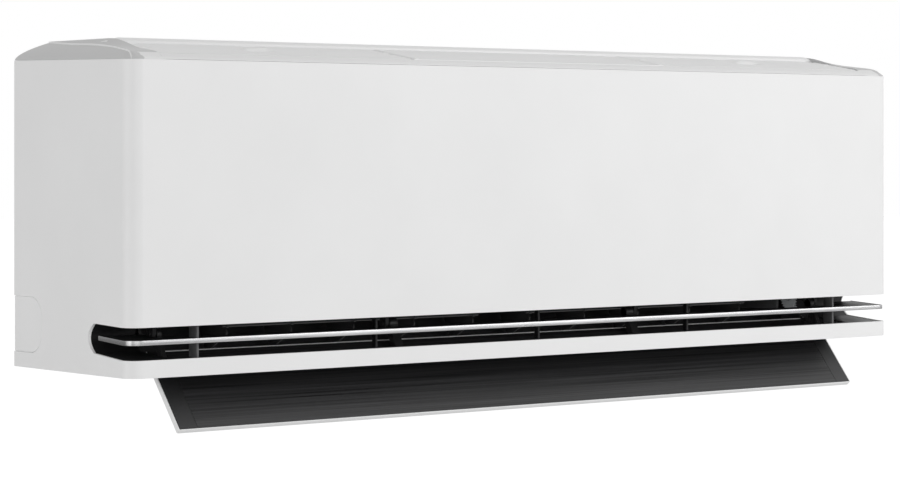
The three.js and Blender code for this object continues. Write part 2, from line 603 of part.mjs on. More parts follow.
function crossFlowFan() {
  const { centre, radius, left, right, blades, shaft } = FAN;
  const discs = [left, -165, 100, right - 4].map((x) => turnedX(centre,
    [[0, x], [radius, x], [radius, x + 4], [0, x + 4]], 24));
  const bladeBars = Array.from({ length: blades }, (_, k) => {
    const turn = (2 * Math.PI * k) / blades;
    const arc = [[0, 0.4], [5, 2.6], [11, 2.4]].map(([inward, side]) => {
      const r = radius - 0.6 - inward;
      const lean = turn + side / r;
      return [centre[0] + r * Math.cos(lean), centre[1] + r * Math.sin(lean)];
    });
    return alongX(sheet(arc, 1.1), left + 2, right - 2);
  });
  const axle = barX(centre, shaft, right - 1, MOTOR.left - GAP);
  const stub = barX(centre, shaft, left - 11, left + 1);
  add('cross_flow_fan', join(discs, bladeBars, axle, stub), DARK);

  const bearing = cut(barX(centre, 12, -437.5, -430), barX(centre, shaft + 0.4, -440, -428));
  add('fan_bearing', bearing, PALE);
}

function fanMotor() {
  const { left, right, radius } = MOTOR;
  const body = turnedX(FAN.centre, [[0, left], [9, left], [9, left + 6], [radius - 6, left + 6],
    [radius, left + 12], [radius, right - 12], [radius - 6, right - 4], [12, right - 4], [12, right],
    [0, right]], 24);
  add('fan_motor', body, STEEL);
  const strap = cut(
    barX(FAN.centre, radius + 3, 404, 416, 28), barX(FAN.centre, radius + 0.6, 400, 420, 28),
    block([400, 420], [60, 180], [90, FAN.centre[1]]));
  const [depth, height] = FAN.centre;
  const feet = [[depth - 52, depth - 39], [depth + 39, depth + 52]].map((d) =>
    block([404, 416], d, [height, height + 3]));
  add('motor_clamp', join(strap, feet), STEEL);
}

// ---------------------------------------------------------------- heat exchanger and pipes

const COIL_FRONT = [[34, 108], [40, 190], [90, 262]];
const COIL_REAR = [[112, 262], [166, 198]];

/** Sheet with its thickness centred on a line. */
function thickLine(line, thickness) {
  const near = sheet(line, thickness / 2).slice(line.length).reverse();
  const far = sheet(line, -thickness / 2).slice(line.length);
  return [...near, ...far];
}

/** Points spaced along a line of straight runs. */
function spaced(line, pitch) {
  return line.slice(1).flatMap((end, i) => {
    const start = line[i];
    const length = Math.hypot(end[0] - start[0], end[1] - start[1]);
    const count = Math.floor((length - pitch * 0.6) / pitch);
    const first = (length - pitch * (count - 1)) / 2;
    return Array.from({ length: count }, (_, k) => {
      const share = (first + pitch * k) / length;
      return [start[0] + (end[0] - start[0]) * share, start[1] + (end[1] - start[1]) * share];
    });
  });
}

function heatExchanger() {
  const { left, right, thick } = EVAPORATOR;
  add('evaporator_front', alongX(thickLine(COIL_FRONT, thick), left, right), FINS);
  add('evaporator_rear', alongX(thickLine(COIL_REAR, thick), left, right), FINS);

  const plateOutline = [...COIL_FRONT, ...COIL_REAR];
  const sheetAt = (x) => alongX(thickLine(plateOutline, thick + 4), x, x + 1.5);
  const tubes = [...spaced(COIL_FRONT, 21), ...spaced(COIL_REAR, 21)];
  const bends = tubes.slice(1).flatMap(([d1, z1], i) => {
    if (i % 2 === 1) return [];
    const [d0, z0] = tubes[i];
    const x = left - 2;
    const reach = 12;
    return [tube([[x, d0, z0], [x - reach * 0.7, d0 + (d1 - d0) * 0.12, z0 + (z1 - z0) * 0.12],
      [x - reach, (d0 + d1) / 2, (z0 + z1) / 2],
      [x - reach * 0.7, d0 + (d1 - d0) * 0.88, z0 + (z1 - z0) * 0.88], [x, d1, z1]], 3.5, 8, 6)];
  });
  add('tube_sheet_left', join(sheetAt(left - 2.1), bends), COPPER);
  const stubs = tubes.map((centre) => barX(centre, 3.5, right + 1, right + 8, 8));
  add('tube_sheet_right', join(sheetAt(right + 0.6), stubs), STEEL);
}

/** Copper pipe with a flare nut on its end. */
function pipe(name, radius, points) {
  const route = tube(points, radius, 26, 8);
  const [x, d, z] = points.at(-1);
  const nut = alongX(ring(d, z, radius * 1.9, 6), x - 4, x + 14);
  add(name, join(route, nut), COPPER);
}

function pipes() {
  pipe('gas_pipe', 6.35, [[361, 182, 222], [374, 184, 218], [382, 185, 190], [382, 186, 120],
    [381, 186, 60], [372, 186, 38], [340, 186, 33], [240, 186, 33], [120, 186, 33]]);
  pipe('liquid_pipe', 3.2, [[361, 168, 214], [372, 168, 210], [376, 169, 190], [376, 170, 120],
    [375, 170, 52], [366, 170, 30], [340, 170, 26], [240, 170, 26], [150, 170, 26]]);
}

// ---------------------------------------------------------------- electrics

function electrics() {
  const box = cut(
    block([382, 470], [26, 160], [196, 278]), block([384, 468], [20, 158], [198, 276]));
  add('control_box', box, PALE);
  const lid = join(block([382, 470], [23, 25.6], [196, 278]), block([386, 466], [24, 30], [200, 204]));
  add('control_box_cover', lid, STEEL);

  const parts = [[[394, 414], [110, 140], 30], [[420, 432], [110, 122], 26], [[436, 448], [110, 122], 26],
    [[398, 440], [60, 84], 18], [[446, 458], [44, 90], 14], [[396, 410], [40, 50], 12]].map(([x, d, tall]) =>
    block(x, d, [211, 211 + tall]));
  const feet = [392, 456].flatMap((x) => [38, 140].map((d) => block([x, x + 4], [d, d + 4], [198.3, 211])));
  add('main_board', join(block([390, 462], [36, 150], [210, 212]), parts, feet), BOARD);

  const steps = [396, 411, 426, 441].map((x) => block([x, x + 12], [30, 44], [176, 190]));
  add('terminal_block', join(block([392, 458], [30, 60], [176, 195.6]), steps), DARK);

  const digits = [346, 364].map((x) => block([x, x + 12], [3.4, 6], [98, 116]));
  const display = join(block([330, 410], [5.5, 7.1], [92, 122]), digits,
    block([388, 398], [3.4, 6], [102, 112]));
  add('display_board', display, BOARD);

  const sensor = join(barX([18, 232], 2.4, 300, 318, 12), block([298, 302], [14, 26], [229, 235]));
  add('air_sensor', sensor, COPPER);
}

// ---------------------------------------------------------------- wall plate

function wallPlate() {
  const { half, bottom, top, sheet: gauge } = PLATE;
  const front = BODY.depth - gauge;
  const base = alongDepth(corners([[-half, bottom, 10], [half, bottom, 10], [half, top, 10],
    [-half, top, 10]]), front, BODY.depth);
  const ribs = [[60, 66], [232, 238]].map((z) =>
    block([-half + 30, half - 30], [front - 3, front + 0.5], z));
  const hooks = SIDES.map(([, sign]) => {
    const x = mirror(sign, 286, 314);
    return join(block(x, [197.6, front + 0.5], [243, 246]), block(x, [195.8, 198], [243, 256]));
  });
  const holes = SIDES.flatMap(([, sign]) => [60, 330, 415].flatMap((x) => [100, 200].map((z) =>
    alongDepth(ring(sign * x, z, 3, 8), front - 5, BODY.depth + 5))));
  const windows = SIDES.map(([, sign]) => alongDepth(corners([[80, 120, 6], [290, 120, 6], [290, 180, 6],
    [80, 180, 6]].map(([x, z, r]) => [sign * x, z, r])), front - 5, BODY.depth + 5));
  const pipeNotches = SIDES.map(([, sign]) =>
    alongDepth(ring(sign * (half - 10), bottom + 10, 34, 20), front - 5, BODY.depth + 5));
  add('wall_plate', cut(join(base, ribs, hooks), holes, windows, pipeNotches), STEEL);
}

frontCover();
topFrame();
intakeGrille();
preFilters();
bottomCover();
slotLiner();
blade();
lowerVane();
vaneDrive();
rearChassis();
ductFrontWall();
drainPan();
louvres();
crossFlowFan();
fanMotor();
heatExchanger();
pipes();
electrics();
wallPlate();

export default root;
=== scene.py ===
# %% [markdown]
# A wall-hung indoor unit of a split air conditioner, with its lower vane open.
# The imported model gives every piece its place. This file gives the visible pieces their fine
# surfaces and every piece its finish.

import json
import math
import bmesh
import bpy
import numpy as np
from mathutils.geometry import tessellate_polygon
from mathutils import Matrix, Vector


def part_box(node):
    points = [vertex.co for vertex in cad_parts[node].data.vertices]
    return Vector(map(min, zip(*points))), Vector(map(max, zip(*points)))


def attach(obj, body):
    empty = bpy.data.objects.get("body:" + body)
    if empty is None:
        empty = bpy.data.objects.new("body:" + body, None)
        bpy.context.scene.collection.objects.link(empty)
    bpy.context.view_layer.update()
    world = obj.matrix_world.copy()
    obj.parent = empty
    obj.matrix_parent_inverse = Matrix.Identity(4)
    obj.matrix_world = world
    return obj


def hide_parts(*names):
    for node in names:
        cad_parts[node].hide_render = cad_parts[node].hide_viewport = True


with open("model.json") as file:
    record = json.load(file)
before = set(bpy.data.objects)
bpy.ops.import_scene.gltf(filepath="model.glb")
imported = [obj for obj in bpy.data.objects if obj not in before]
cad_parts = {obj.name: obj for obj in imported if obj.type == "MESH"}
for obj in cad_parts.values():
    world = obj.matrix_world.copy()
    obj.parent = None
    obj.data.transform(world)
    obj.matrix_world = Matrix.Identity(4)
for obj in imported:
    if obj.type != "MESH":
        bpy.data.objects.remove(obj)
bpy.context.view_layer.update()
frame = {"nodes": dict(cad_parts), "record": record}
nodes = frame["nodes"]

# %% [markdown]
# Every place is written as on a drawing, in millimetres: x along the unit from its middle, depth
# back from the front face, and height up from the cover's bottom edge. One function turns such
# places into the frame's metres, so no piece is fitted by hand.

# %% Drawing places to frame metres
MM = 0.001
SIDES = (("left", -1), ("right", 1))
cover_low, cover_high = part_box("front_cover")
HALF = cover_high.x / MM
FRONT_Y = cover_low.y
BASE_Z = cover_low.z
TOP_EDGE = 291.0      # height of the front's top edge
CORNER = 15.0         # radius of the cover's upright corners
WALL = 2.5            # thickness of the cover
BACK = 209.0          # depth of the cover's rear edge
EDGE_RISE = 0.0165    # the side's top edge rises this much for each millimetre of depth


def place(x, depth, height):
    """Points of the frame, in metres, from arrays of x, depth and height in millimetres."""
    x, depth, height = np.broadcast_arrays(x, depth, height)
    return np.stack([x * MM, depth * MM + FRONT_Y, height * MM + BASE_Z], axis=-1)


print("half width", round(HALF, 1), "mm")

# %% [markdown]
# The camera stands to the left, level, about 3 m away, with a long lens. A level camera keeps the
# upright edges parallel, so the frame is moved down on the object with the lens shift.

# %% Camera
IMAGE_WIDTH = 900
IMAGE_HEIGHT = 495
FOCAL_PIXELS = 2846.4
HORIZON_ROW = 150.9
CAMERA_TURN = math.radians(38.42)
SENSOR = 36.0

camera_data = bpy.data.cameras.new("camera")
camera_data.sensor_width = SENSOR
camera_data.lens = FOCAL_PIXELS / IMAGE_WIDTH * SENSOR
camera_data.shift_y = (HORIZON_ROW - IMAGE_HEIGHT / 2) / IMAGE_WIDTH
camera_data.clip_end = 50
camera = bpy.data.objects.new("camera", camera_data)
camera.location = (-1.8747, -2.4097, 0.0562)
camera.rotation_euler = (math.pi / 2, 0, -CAMERA_TURN)
bpy.context.scene.collection.objects.link(camera)
bpy.context.scene.camera = camera
print("lens", round(camera_data.lens, 1), "mm")

# %% [markdown]
# Studio light is large and soft. The key light stands to the right of the front, which leaves the
# near side a little darker and makes the front brighter towards its far end. Two weaker lamps lift
# the near corner and the side. The world is white where the camera or a reflection looks at it,
# and dimmer as a light.

# %% Light, floor and background
AMBIENT = 0.51
world = bpy.data.worlds.new("studio")
bpy.context.scene.world = world
world.use_nodes = True
tree = world.node_tree
tree.nodes.clear()
path = tree.nodes.new("ShaderNodeLightPath")
choose = tree.nodes.new("ShaderNodeMixShader")
seen = path.outputs["Is Camera Ray"]
for kind in ("Is Glossy Ray", "Is Transmission Ray"):
    either = tree.nodes.new("ShaderNodeMath")
    either.operation = "MAXIMUM"
    tree.links.new(seen, either.inputs[0])
    tree.links.new(path.outputs[kind], either.inputs[1])
    seen = either.outputs[0]
tree.links.new(seen, choose.inputs[0])
for socket, strength in ((1, AMBIENT), (2, 1.0)):
    white = tree.nodes.new("ShaderNodeBackground")
    white.inputs["Color"].default_value = (1, 1, 1, 1)
    white.inputs["Strength"].default_value = strength
    tree.links.new(white.outputs[0], choose.inputs[socket])
out = tree.nodes.new("ShaderNodeOutputWorld")
tree.links.new(choose.outputs[0], out.inputs["Surface"])


def soft_light(name, location, target, size, power):
    """A square lamp of a size in metres that looks from its place at a target."""
    data = bpy.data.lights.new(name, "AREA")
    data.shape = "SQUARE"
    data.size = size
    data.energy = power
    lamp = bpy.data.objects.new(name, data)
    lamp.location = location
    aim = np.array(target, float) - np.array(location, float)
    yaw = math.atan2(aim[0], -aim[1])
    pitch = math.atan2(math.hypot(aim[0], aim[1]), -aim[2])
    lamp.rotation_euler = (pitch, 0, yaw + math.pi)
    bpy.context.scene.collection.objects.link(lamp)
    return lamp


soft_light("key", (2.2, -2.6, 1.0), (0.1, -0.1, 0), 2.2, 46)
soft_light("fill", (-1.5, -3.4, 0.3), (0, -0.1, 0), 2.4, 11)
soft_light("side", (-3.1, -0.45, 0.1), (-0.5, -0.1, 0), 2.0, 15)

FLOOR_DROP = 1.1
floor_mesh = bpy.data.meshes.new("floor")
reach = 40.0
floor_mesh.from_pydata(
    [(-reach, -reach, -FLOOR_DROP), (reach, -reach, -FLOOR_DROP),
     (reach, reach, -FLOOR_DROP), (-reach, reach, -FLOOR_DROP)], [], [(0, 1, 2, 3)])
floor = bpy.data.objects.new("floor", floor_mesh)
bpy.context.scene.collection.objects.link(floor)
bpy.context.scene.view_settings.view_transform = "Standard"
print("ambient", AMBIENT)

# %% [markdown]
# A finish is a few nodes: noise in the roughness, a very fine bump for the moulded grain, and
# for brushed or drawn parts the same noise stretched along one direction. All of it reads the
# object's own coordinates in metres, so a scale of 1000 is one pattern cell in each millimetre.

# %% Helpers for finishes
def finish_nodes(name):
    """A new material with its Principled shader, and short ways to add and link nodes."""
    material = bpy.data.materials.new(name)
    material.use_nodes = True
    nodes_of = material.node_tree.nodes
    shader = nodes_of["Principled BSDF"]
    return material, nodes_of, shader, material.node_tree.links.new


def coordinates(nodes_of, link, stretch):
    """Object coordinates, scaled differently along x, y and z."""
    where = nodes_of.new("ShaderNodeTexCoord")
    mapping = nodes_of.new("ShaderNodeMapping")
    mapping.inputs["Scale"].default_value = stretch
    link(where.outputs["Object"], mapping.inputs["Vector"])
    return mapping.outputs["Vector"]


def noise(nodes_of, link, vector, scale, detail=3.0):
    """Noise of a scale, read at a vector."""
    texture = nodes_of.new("ShaderNodeTexNoise")
    texture.inputs["Scale"].default_value = scale
    texture.inputs["Detail"].default_value = detail
    link(vector, texture.inputs["Vector"])
    return texture.outputs["Fac"]


def spread(nodes_of, link, value, low, high):
    """Noise between 0.3 and 0.7, where most of it lies, spread from low to high."""
    ranged = nodes_of.new("ShaderNodeMapRange")
    ranged.inputs["From Min"].default_value = 0.3
    ranged.inputs["From Max"].default_value = 0.7
    ranged.inputs["To Min"].default_value = low
    ranged.inputs["To Max"].default_value = high
    link(value, ranged.inputs["Value"])
    return ranged.outputs["Result"]


def two_colours(nodes_of, link, value, dark, light):
    """A colour between two, chosen by a value from 0.3 to 0.7."""
    ramp = nodes_of.new("ShaderNodeValToRGB")
    ramp.color_ramp.elements[0].position = 0.3
    ramp.color_ramp.elements[0].color = (*dark, 1)
    ramp.color_ramp.elements[1].position = 0.7
    ramp.color_ramp.elements[1].color = (*light, 1)
    link(value, ramp.inputs["Fac"])
    return ramp.outputs["Color"]


def bump(nodes_of, link, shader, value, strength, height):
    """A bump of a height in metres from a value."""
    raised = nodes_of.new("ShaderNodeBump")
    raised.inputs["Strength"].default_value = strength
    raised.inputs["Distance"].default_value = height
    link(value, raised.inputs["Height"])
    link(raised.outputs["Normal"], shader.inputs["Normal"])


print("finish helpers ready")

# %% [markdown]
# Moulded plastic is one idea with different numbers: a colour that hardly varies, a roughness
# that varies a little, and a grain of a fraction of a millimetre. Gloss black has almost none. Painted shade
# darkens the end blocks of the top, where a value held at their points says, and the ends of the silver
# strip on the sides of the unit, beyond a distance from the middle.

# %% Moulded plastics
def moulded(name, colour, roughness, grain, scale=1800.0, vary=0.012, specular=0.5):
    """Plastic: base colour, roughness, height of the grain in micrometres, cells per metre."""
    material, nodes_of, shader, link = finish_nodes(name)
    vector = coordinates(nodes_of, link, (1, 1, 1))
    cloudy = noise(nodes_of, link, vector, 9.0)
    dark = tuple(max(c - vary, 0.0) for c in colour)
    light = tuple(min(c + vary, 1.0) for c in colour)
    link(two_colours(nodes_of, link, cloudy, dark, light), shader.inputs["Base Color"])
    fine = noise(nodes_of, link, vector, scale)
    low, high = roughness - 0.03, roughness + 0.03
    link(spread(nodes_of, link, fine, low, high), shader.inputs["Roughness"])
    bump(nodes_of, link, shader, fine, 0.5, grain * 1e-6)
    shader.inputs["Specular IOR Level"].default_value = specular
    return material


def brushed(name, colour, roughness, metallic, along, strength):
    """A finish with fine lines along one axis; along holds the scale for each axis."""
    material, nodes_of, shader, link = finish_nodes(name)
    vector = coordinates(nodes_of, link, along)
    lines = noise(nodes_of, link, vector, 1.0, 4.0)
    dark = tuple(c * (1 - strength) for c in colour)
    light = tuple(min(c * (1 + strength), 1.0) for c in colour)
    link(two_colours(nodes_of, link, lines, dark, light), shader.inputs["Base Color"])
    low, high = roughness - 0.08, roughness + 0.08
    link(spread(nodes_of, link, lines, low, high), shader.inputs["Roughness"])
    bump(nodes_of, link, shader, lines, 0.35, 4e-5)
    shader.inputs["Metallic"].default_value = metallic
    return material


def shaded(name, reading, low, high, factor):
    """Paints shade into a finish: makes it darker by a factor where a reading passes from low to high. The
    reading is the size of an object coordinate in metres, or a value that a piece holds at each of its
    points."""
    tree = finishes[name].node_tree
    shader = tree.nodes["Principled BSDF"]
    before = shader.inputs["Base Color"].links[0].from_socket
    size = tree.nodes.new("ShaderNodeMath")
    size.operation = "ABSOLUTE"
    if reading in ("X", "Y", "Z"):
        where = tree.nodes.new("ShaderNodeTexCoord")
        split = tree.nodes.new("ShaderNodeSeparateXYZ")
        tree.links.new(where.outputs["Object"], split.inputs[0])
        tree.links.new(split.outputs[reading], size.inputs[0])
    else:
        held = tree.nodes.new("ShaderNodeAttribute")
        held.attribute_name = reading
        tree.links.new(held.outputs["Fac"], size.inputs[0])
    ranged = tree.nodes.new("ShaderNodeMapRange")
    ranged.inputs["From Min"].default_value = low
    ranged.inputs["From Max"].default_value = high
    ranged.inputs["To Min"].default_value = 1.0
    ranged.inputs["To Max"].default_value = factor
    scaled = tree.nodes.new("ShaderNodeVectorMath")
    scaled.operation = "SCALE"
    tree.links.new(size.outputs[0], ranged.inputs["Value"])
    tree.links.new(before, scaled.inputs[0])
    tree.links.new(ranged.outputs["Result"], scaled.inputs["Scale"])
    tree.links.new(scaled.outputs[0], shader.inputs["Base Color"])


LENGTHWISE = (14.0, 1500.0, 1500.0)
BRUSH_LINES = (3.0, 850.0, 850.0)
finishes = {
    "white_shell": moulded("white_shell", (0.85, 0.85, 0.85), 0.42, 6),
    "top_white": moulded("top_white", (0.84, 0.84, 0.84), 0.5, 10),
    "black_gloss": moulded("black_gloss", (0.017, 0.017, 0.018), 0.42, 3, vary=0.003, specular=0.25),
    "silver_trim": brushed("silver_trim", (0.52, 0.52, 0.525), 0.28, 0.9, LENGTHWISE, 0.05),
    "grey_post": moulded("grey_post", (0.13, 0.13, 0.133), 0.5, 8, vary=0.004),
    "brushed_panel": brushed("brushed_panel", (0.022, 0.022, 0.023), 0.36, 0.0, BRUSH_LINES, 0.85),
    "dark_plastic": moulded("dark_plastic", (0.020, 0.020, 0.021), 0.45, 8, vary=0.004),
    "inner_plastic": moulded("inner_plastic", (0.50, 0.52, 0.53), 0.55, 14),
}
# Painted shade: the silver strip darkens to 0.42 of its colour on the sides of the unit, from 495.5 to 498.2
# mm out from the middle.
shaded("silver_trim", "X", 0.4955, 0.4982, 0.42)
# Painted shade: the top's end blocks darken to 0.70 of their colour where their points hold the mark.
shaded("top_white", "painted_shade_end", 0.0, 1.0, 0.70)
print("plastics:", ", ".join(finishes))

# %% [markdown]
# Galvanised sheet shows its zinc as flat crystals of slightly different grey, which Voronoi cells
# draw. Fins are thin bright sheets with a soft blue coating, copper is drawn tube with a little
# tarnish, and the circuit board has a green lacquer with tracks under it.

# %% Metals and the board
def galvanised(name):
    """Zinc crystals of about 8 mm: each Voronoi cell has its own grey and roughness."""
    material, nodes_of, shader, link = finish_nodes(name)
    vector = coordinates(nodes_of, link, (1, 1, 1))
    cells = nodes_of.new("ShaderNodeTexVoronoi")
    cells.inputs["Scale"].default_value = 120.0
    link(vector, cells.inputs["Vector"])
    split = nodes_of.new("ShaderNodeSeparateColor")
    link(cells.outputs["Color"], split.inputs["Color"])
    grey = two_colours(nodes_of, link, split.outputs[0], (0.46, 0.48, 0.49), (0.60, 0.62, 0.63))
    link(grey, shader.inputs["Base Color"])
    link(spread(nodes_of, link, split.outputs[1], 0.36, 0.52), shader.inputs["Roughness"])
    shader.inputs["Metallic"].default_value = 0.9
    fine = noise(nodes_of, link, vector, 900.0)
    bump(nodes_of, link, shader, fine, 0.4, 2e-5)
    return material


def tarnished(name, bright, dull, roughness, metallic=1.0):
    """Metal with soft patches between a bright and a duller colour."""
    material, nodes_of, shader, link = finish_nodes(name)
    vector = coordinates(nodes_of, link, (1, 1, 1))
    patches = noise(nodes_of, link, vector, 35.0, 6.0)
    link(two_colours(nodes_of, link, patches, dull, bright), shader.inputs["Base Color"])
    low, high = roughness - 0.06, roughness + 0.1
    link(spread(nodes_of, link, patches, high, low), shader.inputs["Roughness"])
    shader.inputs["Metallic"].default_value = metallic
    fine = noise(nodes_of, link, vector, 1400.0)
    bump(nodes_of, link, shader, fine, 0.3, 1e-5)
    return material


def lacquered_board(name):
    """Green lacquer, a little lighter over straight copper tracks 2 mm apart."""
    material, nodes_of, shader, link = finish_nodes(name)
    vector = coordinates(nodes_of, link, (500.0, 60.0, 60.0))
    tracks = noise(nodes_of, link, vector, 1.0, 0.0)
    green = two_colours(nodes_of, link, tracks, (0.015, 0.10, 0.045), (0.03, 0.19, 0.085))
    link(green, shader.inputs["Base Color"])
    shader.inputs["Roughness"].default_value = 0.35
    bump(nodes_of, link, shader, tracks, 0.3, 3e-5)
    return material


finishes["zinc_steel"] = galvanised("zinc_steel")
finishes["aluminium_fins"] = tarnished("aluminium_fins", (0.72, 0.78, 0.82), (0.60, 0.68, 0.74), 0.34)
finishes["copper"] = tarnished("copper", (0.80, 0.42, 0.26), (0.52, 0.25, 0.15), 0.3)
finishes["circuit_board"] = lacquered_board("circuit_board")
print("finishes:", len(finishes))

# %% [markdown]
# The floor is pale and matt, and to the camera it is mostly plain white, so that it runs into the
# white background without a horizon but keeps a trace of the object's shadow.

# %% Floor finish
floor_finish = moulded("pale_floor", (0.80, 0.80, 0.80), 0.8, 20, 300.0)
tree = floor_finish.node_tree
whitened = tree.nodes.new("ShaderNodeMixShader")
glow = tree.nodes.new("ShaderNodeEmission")
glow.inputs["Strength"].default_value = 1.1
ray = tree.nodes.new("ShaderNodeLightPath")
part = tree.nodes.new("ShaderNodeMath")
part.operation = "MULTIPLY"
part.inputs[1].default_value = 0.93
tree.links.new(ray.outputs["Is Camera Ray"], part.inputs[0])
tree.links.new(part.outputs[0], whitened.inputs[0])
tree.links.new(tree.nodes["Principled BSDF"].outputs[0], whitened.inputs[1])
tree.links.new(glow.outputs[0], whitened.inputs[2])
tree.links.new(whitened.outputs[0], tree.nodes["Material Output"].inputs["Surface"])
floor_mesh.materials.append(floor_finish)

# %% [markdown]
# Every CAD node takes the finish of its material slot now. The ones that a finer piece replaces
# later are hidden then.

# %% Finish every node by its slot
slot_of = {row["node"]: row["material_slot"] for row in frame["record"]["subparts"]}
for node, thing in nodes.items():
    thing.data.materials.clear()
    thing.data.materials.append(finishes[slot_of[node]])
print("finished", len(slot_of), "nodes")

# %% [markdown]
# New pieces are grids: an array of points with one row for each step along a shape and one column
# for each step round it. Two neighbouring rows and columns make a quad, worked out for the whole
# array at once.

# %% Mesh helpers
def grid_quads(rows, columns, around=False):
    """Corner numbers of the quads of a grid; around closes each row on itself."""
    numbers = np.arange(rows * columns).reshape(rows, columns)
    if around:
        numbers = np.concatenate([numbers, numbers[:, :1]], axis=1)
    a, b = numbers[:-1, :-1], numbers[1:, :-1]
    c, d = numbers[1:, 1:], numbers[:-1, 1:]
    return np.stack([a, b, c, d], axis=-1).reshape(-1, 4)


def closed_rings(rings):
    """Rings of one number of points, joined by quads, with one flat face over each end."""
    number, count = rings.shape[:2]
    last = (number - 1) * count
    ends = [tuple(range(count)), tuple(range(last + count - 1, last - 1, -1))]
    return rings, [*map(tuple, grid_quads(number, count, around=True)), *ends]


def piece(name, parts, node_names, slot, body="casing", weld=0.0, sharp=35.0):
    """One object from (points, faces) parts; it rides on a body and may replace CAD nodes."""
    points, faces, start = [], [], 0
    for part_points, part_faces in parts:
        flat_points = np.asarray(part_points, float).reshape(-1, 3)
        points.append(flat_points)
        faces += [tuple(int(i) + start for i in face) for face in part_faces]
        start += len(flat_points)
    mesh = bpy.data.meshes.new(name)
    mesh.from_pydata(np.concatenate(points).tolist(), [], faces)
    thing = bpy.data.objects.new(name, mesh)
    bpy.context.scene.collection.objects.link(thing)
    outward(mesh, weld)
    mesh.shade_smooth()
    mesh.set_sharp_from_angle(angle=math.radians(sharp))
    mesh.materials.append(finishes[slot])
    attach(thing, body)
    if node_names:
        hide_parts(*node_names)
    return thing


def outward(mesh, weld):
    """Merges doubles within a distance in millimetres, and turns all faces outwards."""
    work = bmesh.new()
    work.from_mesh(mesh)
    loose = [point for point in work.verts if not point.link_faces]
    bmesh.ops.delete(work, geom=loose, context="VERTS")
    if weld:
        bmesh.ops.remove_doubles(work, verts=work.verts, dist=weld * MM)
        bmesh.ops.dissolve_degenerate(work, edges=work.edges, dist=1e-7)
    bmesh.ops.recalc_face_normals(work, faces=work.faces)
    work.to_mesh(mesh)
    work.free()


def rounded(thing, radius, segments=3, angle=32.0):
    """Rounds a piece's sharp edges to a radius in millimetres. Normals weighted by the size of
    the faces then keep the large flat faces flat."""
    bevel = thing.modifiers.new("rounded edges", "BEVEL")
    bevel.width = radius * MM
    bevel.segments = segments
    bevel.limit_method = "ANGLE"
    bevel.angle_limit = math.radians(angle)
    bevel.use_clamp_overlap = True
    weighted = thing.modifiers.new("weighted normals", "WEIGHTED_NORMAL")
    weighted.keep_sharp = True
    return thing


TURNED = {
    "x": lambda u, v, w: place(w, u, v),         # outline of (depth, height), carried along x
    "depth": lambda u, v, w: place(u, w, v),     # outline of (x, height), carried back
    "height": lambda u, v, w: place(u, v, w),    # outline of (x, depth), carried up
}


def carried(axis, outline, low, high, holes=()):
    """An outline, with any holes in it, carried along an axis from low to high. The two ends are
    one flat face each, or triangles where there are holes, and every loop gets a wall."""
    loops = [np.asarray(loop, float) for loop in (outline, *holes)]
    flat = np.concatenate(loops)
    count = len(flat)
    points = np.concatenate([TURNED[axis](flat[:, 0], flat[:, 1], end) for end in (low, high)])
    if holes:
        ends = tessellate_polygon([[(u, v, 0) for u, v in loop] for loop in loops])
    else:
        ends = [tuple(range(count))]
    faces = [tuple(end) for end in ends] + [tuple(i + count for i in end[::-1]) for end in ends]
    start = 0
    for loop in loops:
        here = np.arange(len(loop)) + start
        after = np.roll(here, -1)
        faces += list(map(tuple, np.stack([here, after, after + count, here + count], axis=1)))
        start += len(loop)
    return points, faces


def bar(outline, x0, x1, holes=()):
    """A side-view outline of (depth, height) carried along x."""
    return carried("x", outline, x0, x1, holes)


def slab(top, bottom, keep=None):
    """A sheet between two grids of one size. keep says which of their cells are there, and each
    edge that only one of those cells has gets a wall."""
    rows, columns = top.shape[:2]
    quads = grid_quads(rows, columns)
    if keep is not None:
        quads = quads[keep.ravel()]
    edges = np.concatenate([quads[:, [k, (k + 1) % 4]] for k in range(4)])
    _, first, uses = np.unique(np.sort(edges, axis=1), axis=0, return_index=True, return_counts=True)
    rim = edges[first[uses == 1]]
    under = rows * columns
    walls = np.column_stack([rim[:, 1], rim[:, 0], rim[:, 0] + under, rim[:, 1] + under])
    faces = [*map(tuple, quads), *map(tuple, quads[:, ::-1] + under), *map(tuple, walls)]
    return np.concatenate([top.reshape(-1, 3), bottom.reshape(-1, 3)]), faces


def circle(u, v, radius, steps=32):
    """Points round a circle."""
    turn = np.linspace(0, 2 * np.pi, steps, endpoint=False)
    return np.stack([u + radius * np.cos(turn), v + radius * np.sin(turn)], axis=1)


def rounded_rectangle(u0, u1, v0, v1, radius, steps=6):
    """A rectangle whose corners are arcs of a radius."""
    turn = np.linspace(0, np.pi / 2, steps)
    corners = [(u1 - radius, v1 - radius, 0), (u0 + radius, v1 - radius, 1),
               (u0 + radius, v0 + radius, 2), (u1 - radius, v0 + radius, 3)]
    arcs = [np.stack([u + radius * np.cos(turn + q * np.pi / 2),
                      v + radius * np.sin(turn + q * np.pi / 2)], axis=1) for u, v, q in corners]
    return np.concatenate(arcs)


def capsule(start, end, radius, steps=14):
    """A bar with round ends between two points."""
    start, end = np.array(start, float), np.array(end, float)
    lean = math.atan2(end[1] - start[1], end[0] - start[0])
    half = np.linspace(-np.pi / 2, np.pi / 2, steps)
    far = end + radius * np.stack([np.cos(lean + half), np.sin(lean + half)], axis=1)
    near = start - radius * np.stack([np.cos(lean + half), np.sin(lean + half)], axis=1)
    return np.concatenate([far, near])


def smooth_line(points, count):
    """A Catmull-Rom curve through points, at evenly spaced steps of its own parameter."""
    knots = np.asarray(points, float)
    padded = np.concatenate([2 * knots[:1] - knots[1:2], knots, 2 * knots[-1:] - knots[-2:-1]])
    t = np.linspace(0, len(knots) - 1 - 1e-9, count)
    i = t.astype(int)
    f = (t - i)[:, None]
    p0, p1, p2, p3 = padded[i], padded[i + 1], padded[i + 2], padded[i + 3]
    return 0.5 * (2 * p1 + (p2 - p0) * f + (2 * p0 - 5 * p1 + 4 * p2 - p3) * f ** 2
                  + (3 * p1 - p0 - 3 * p2 + p3) * f ** 3)


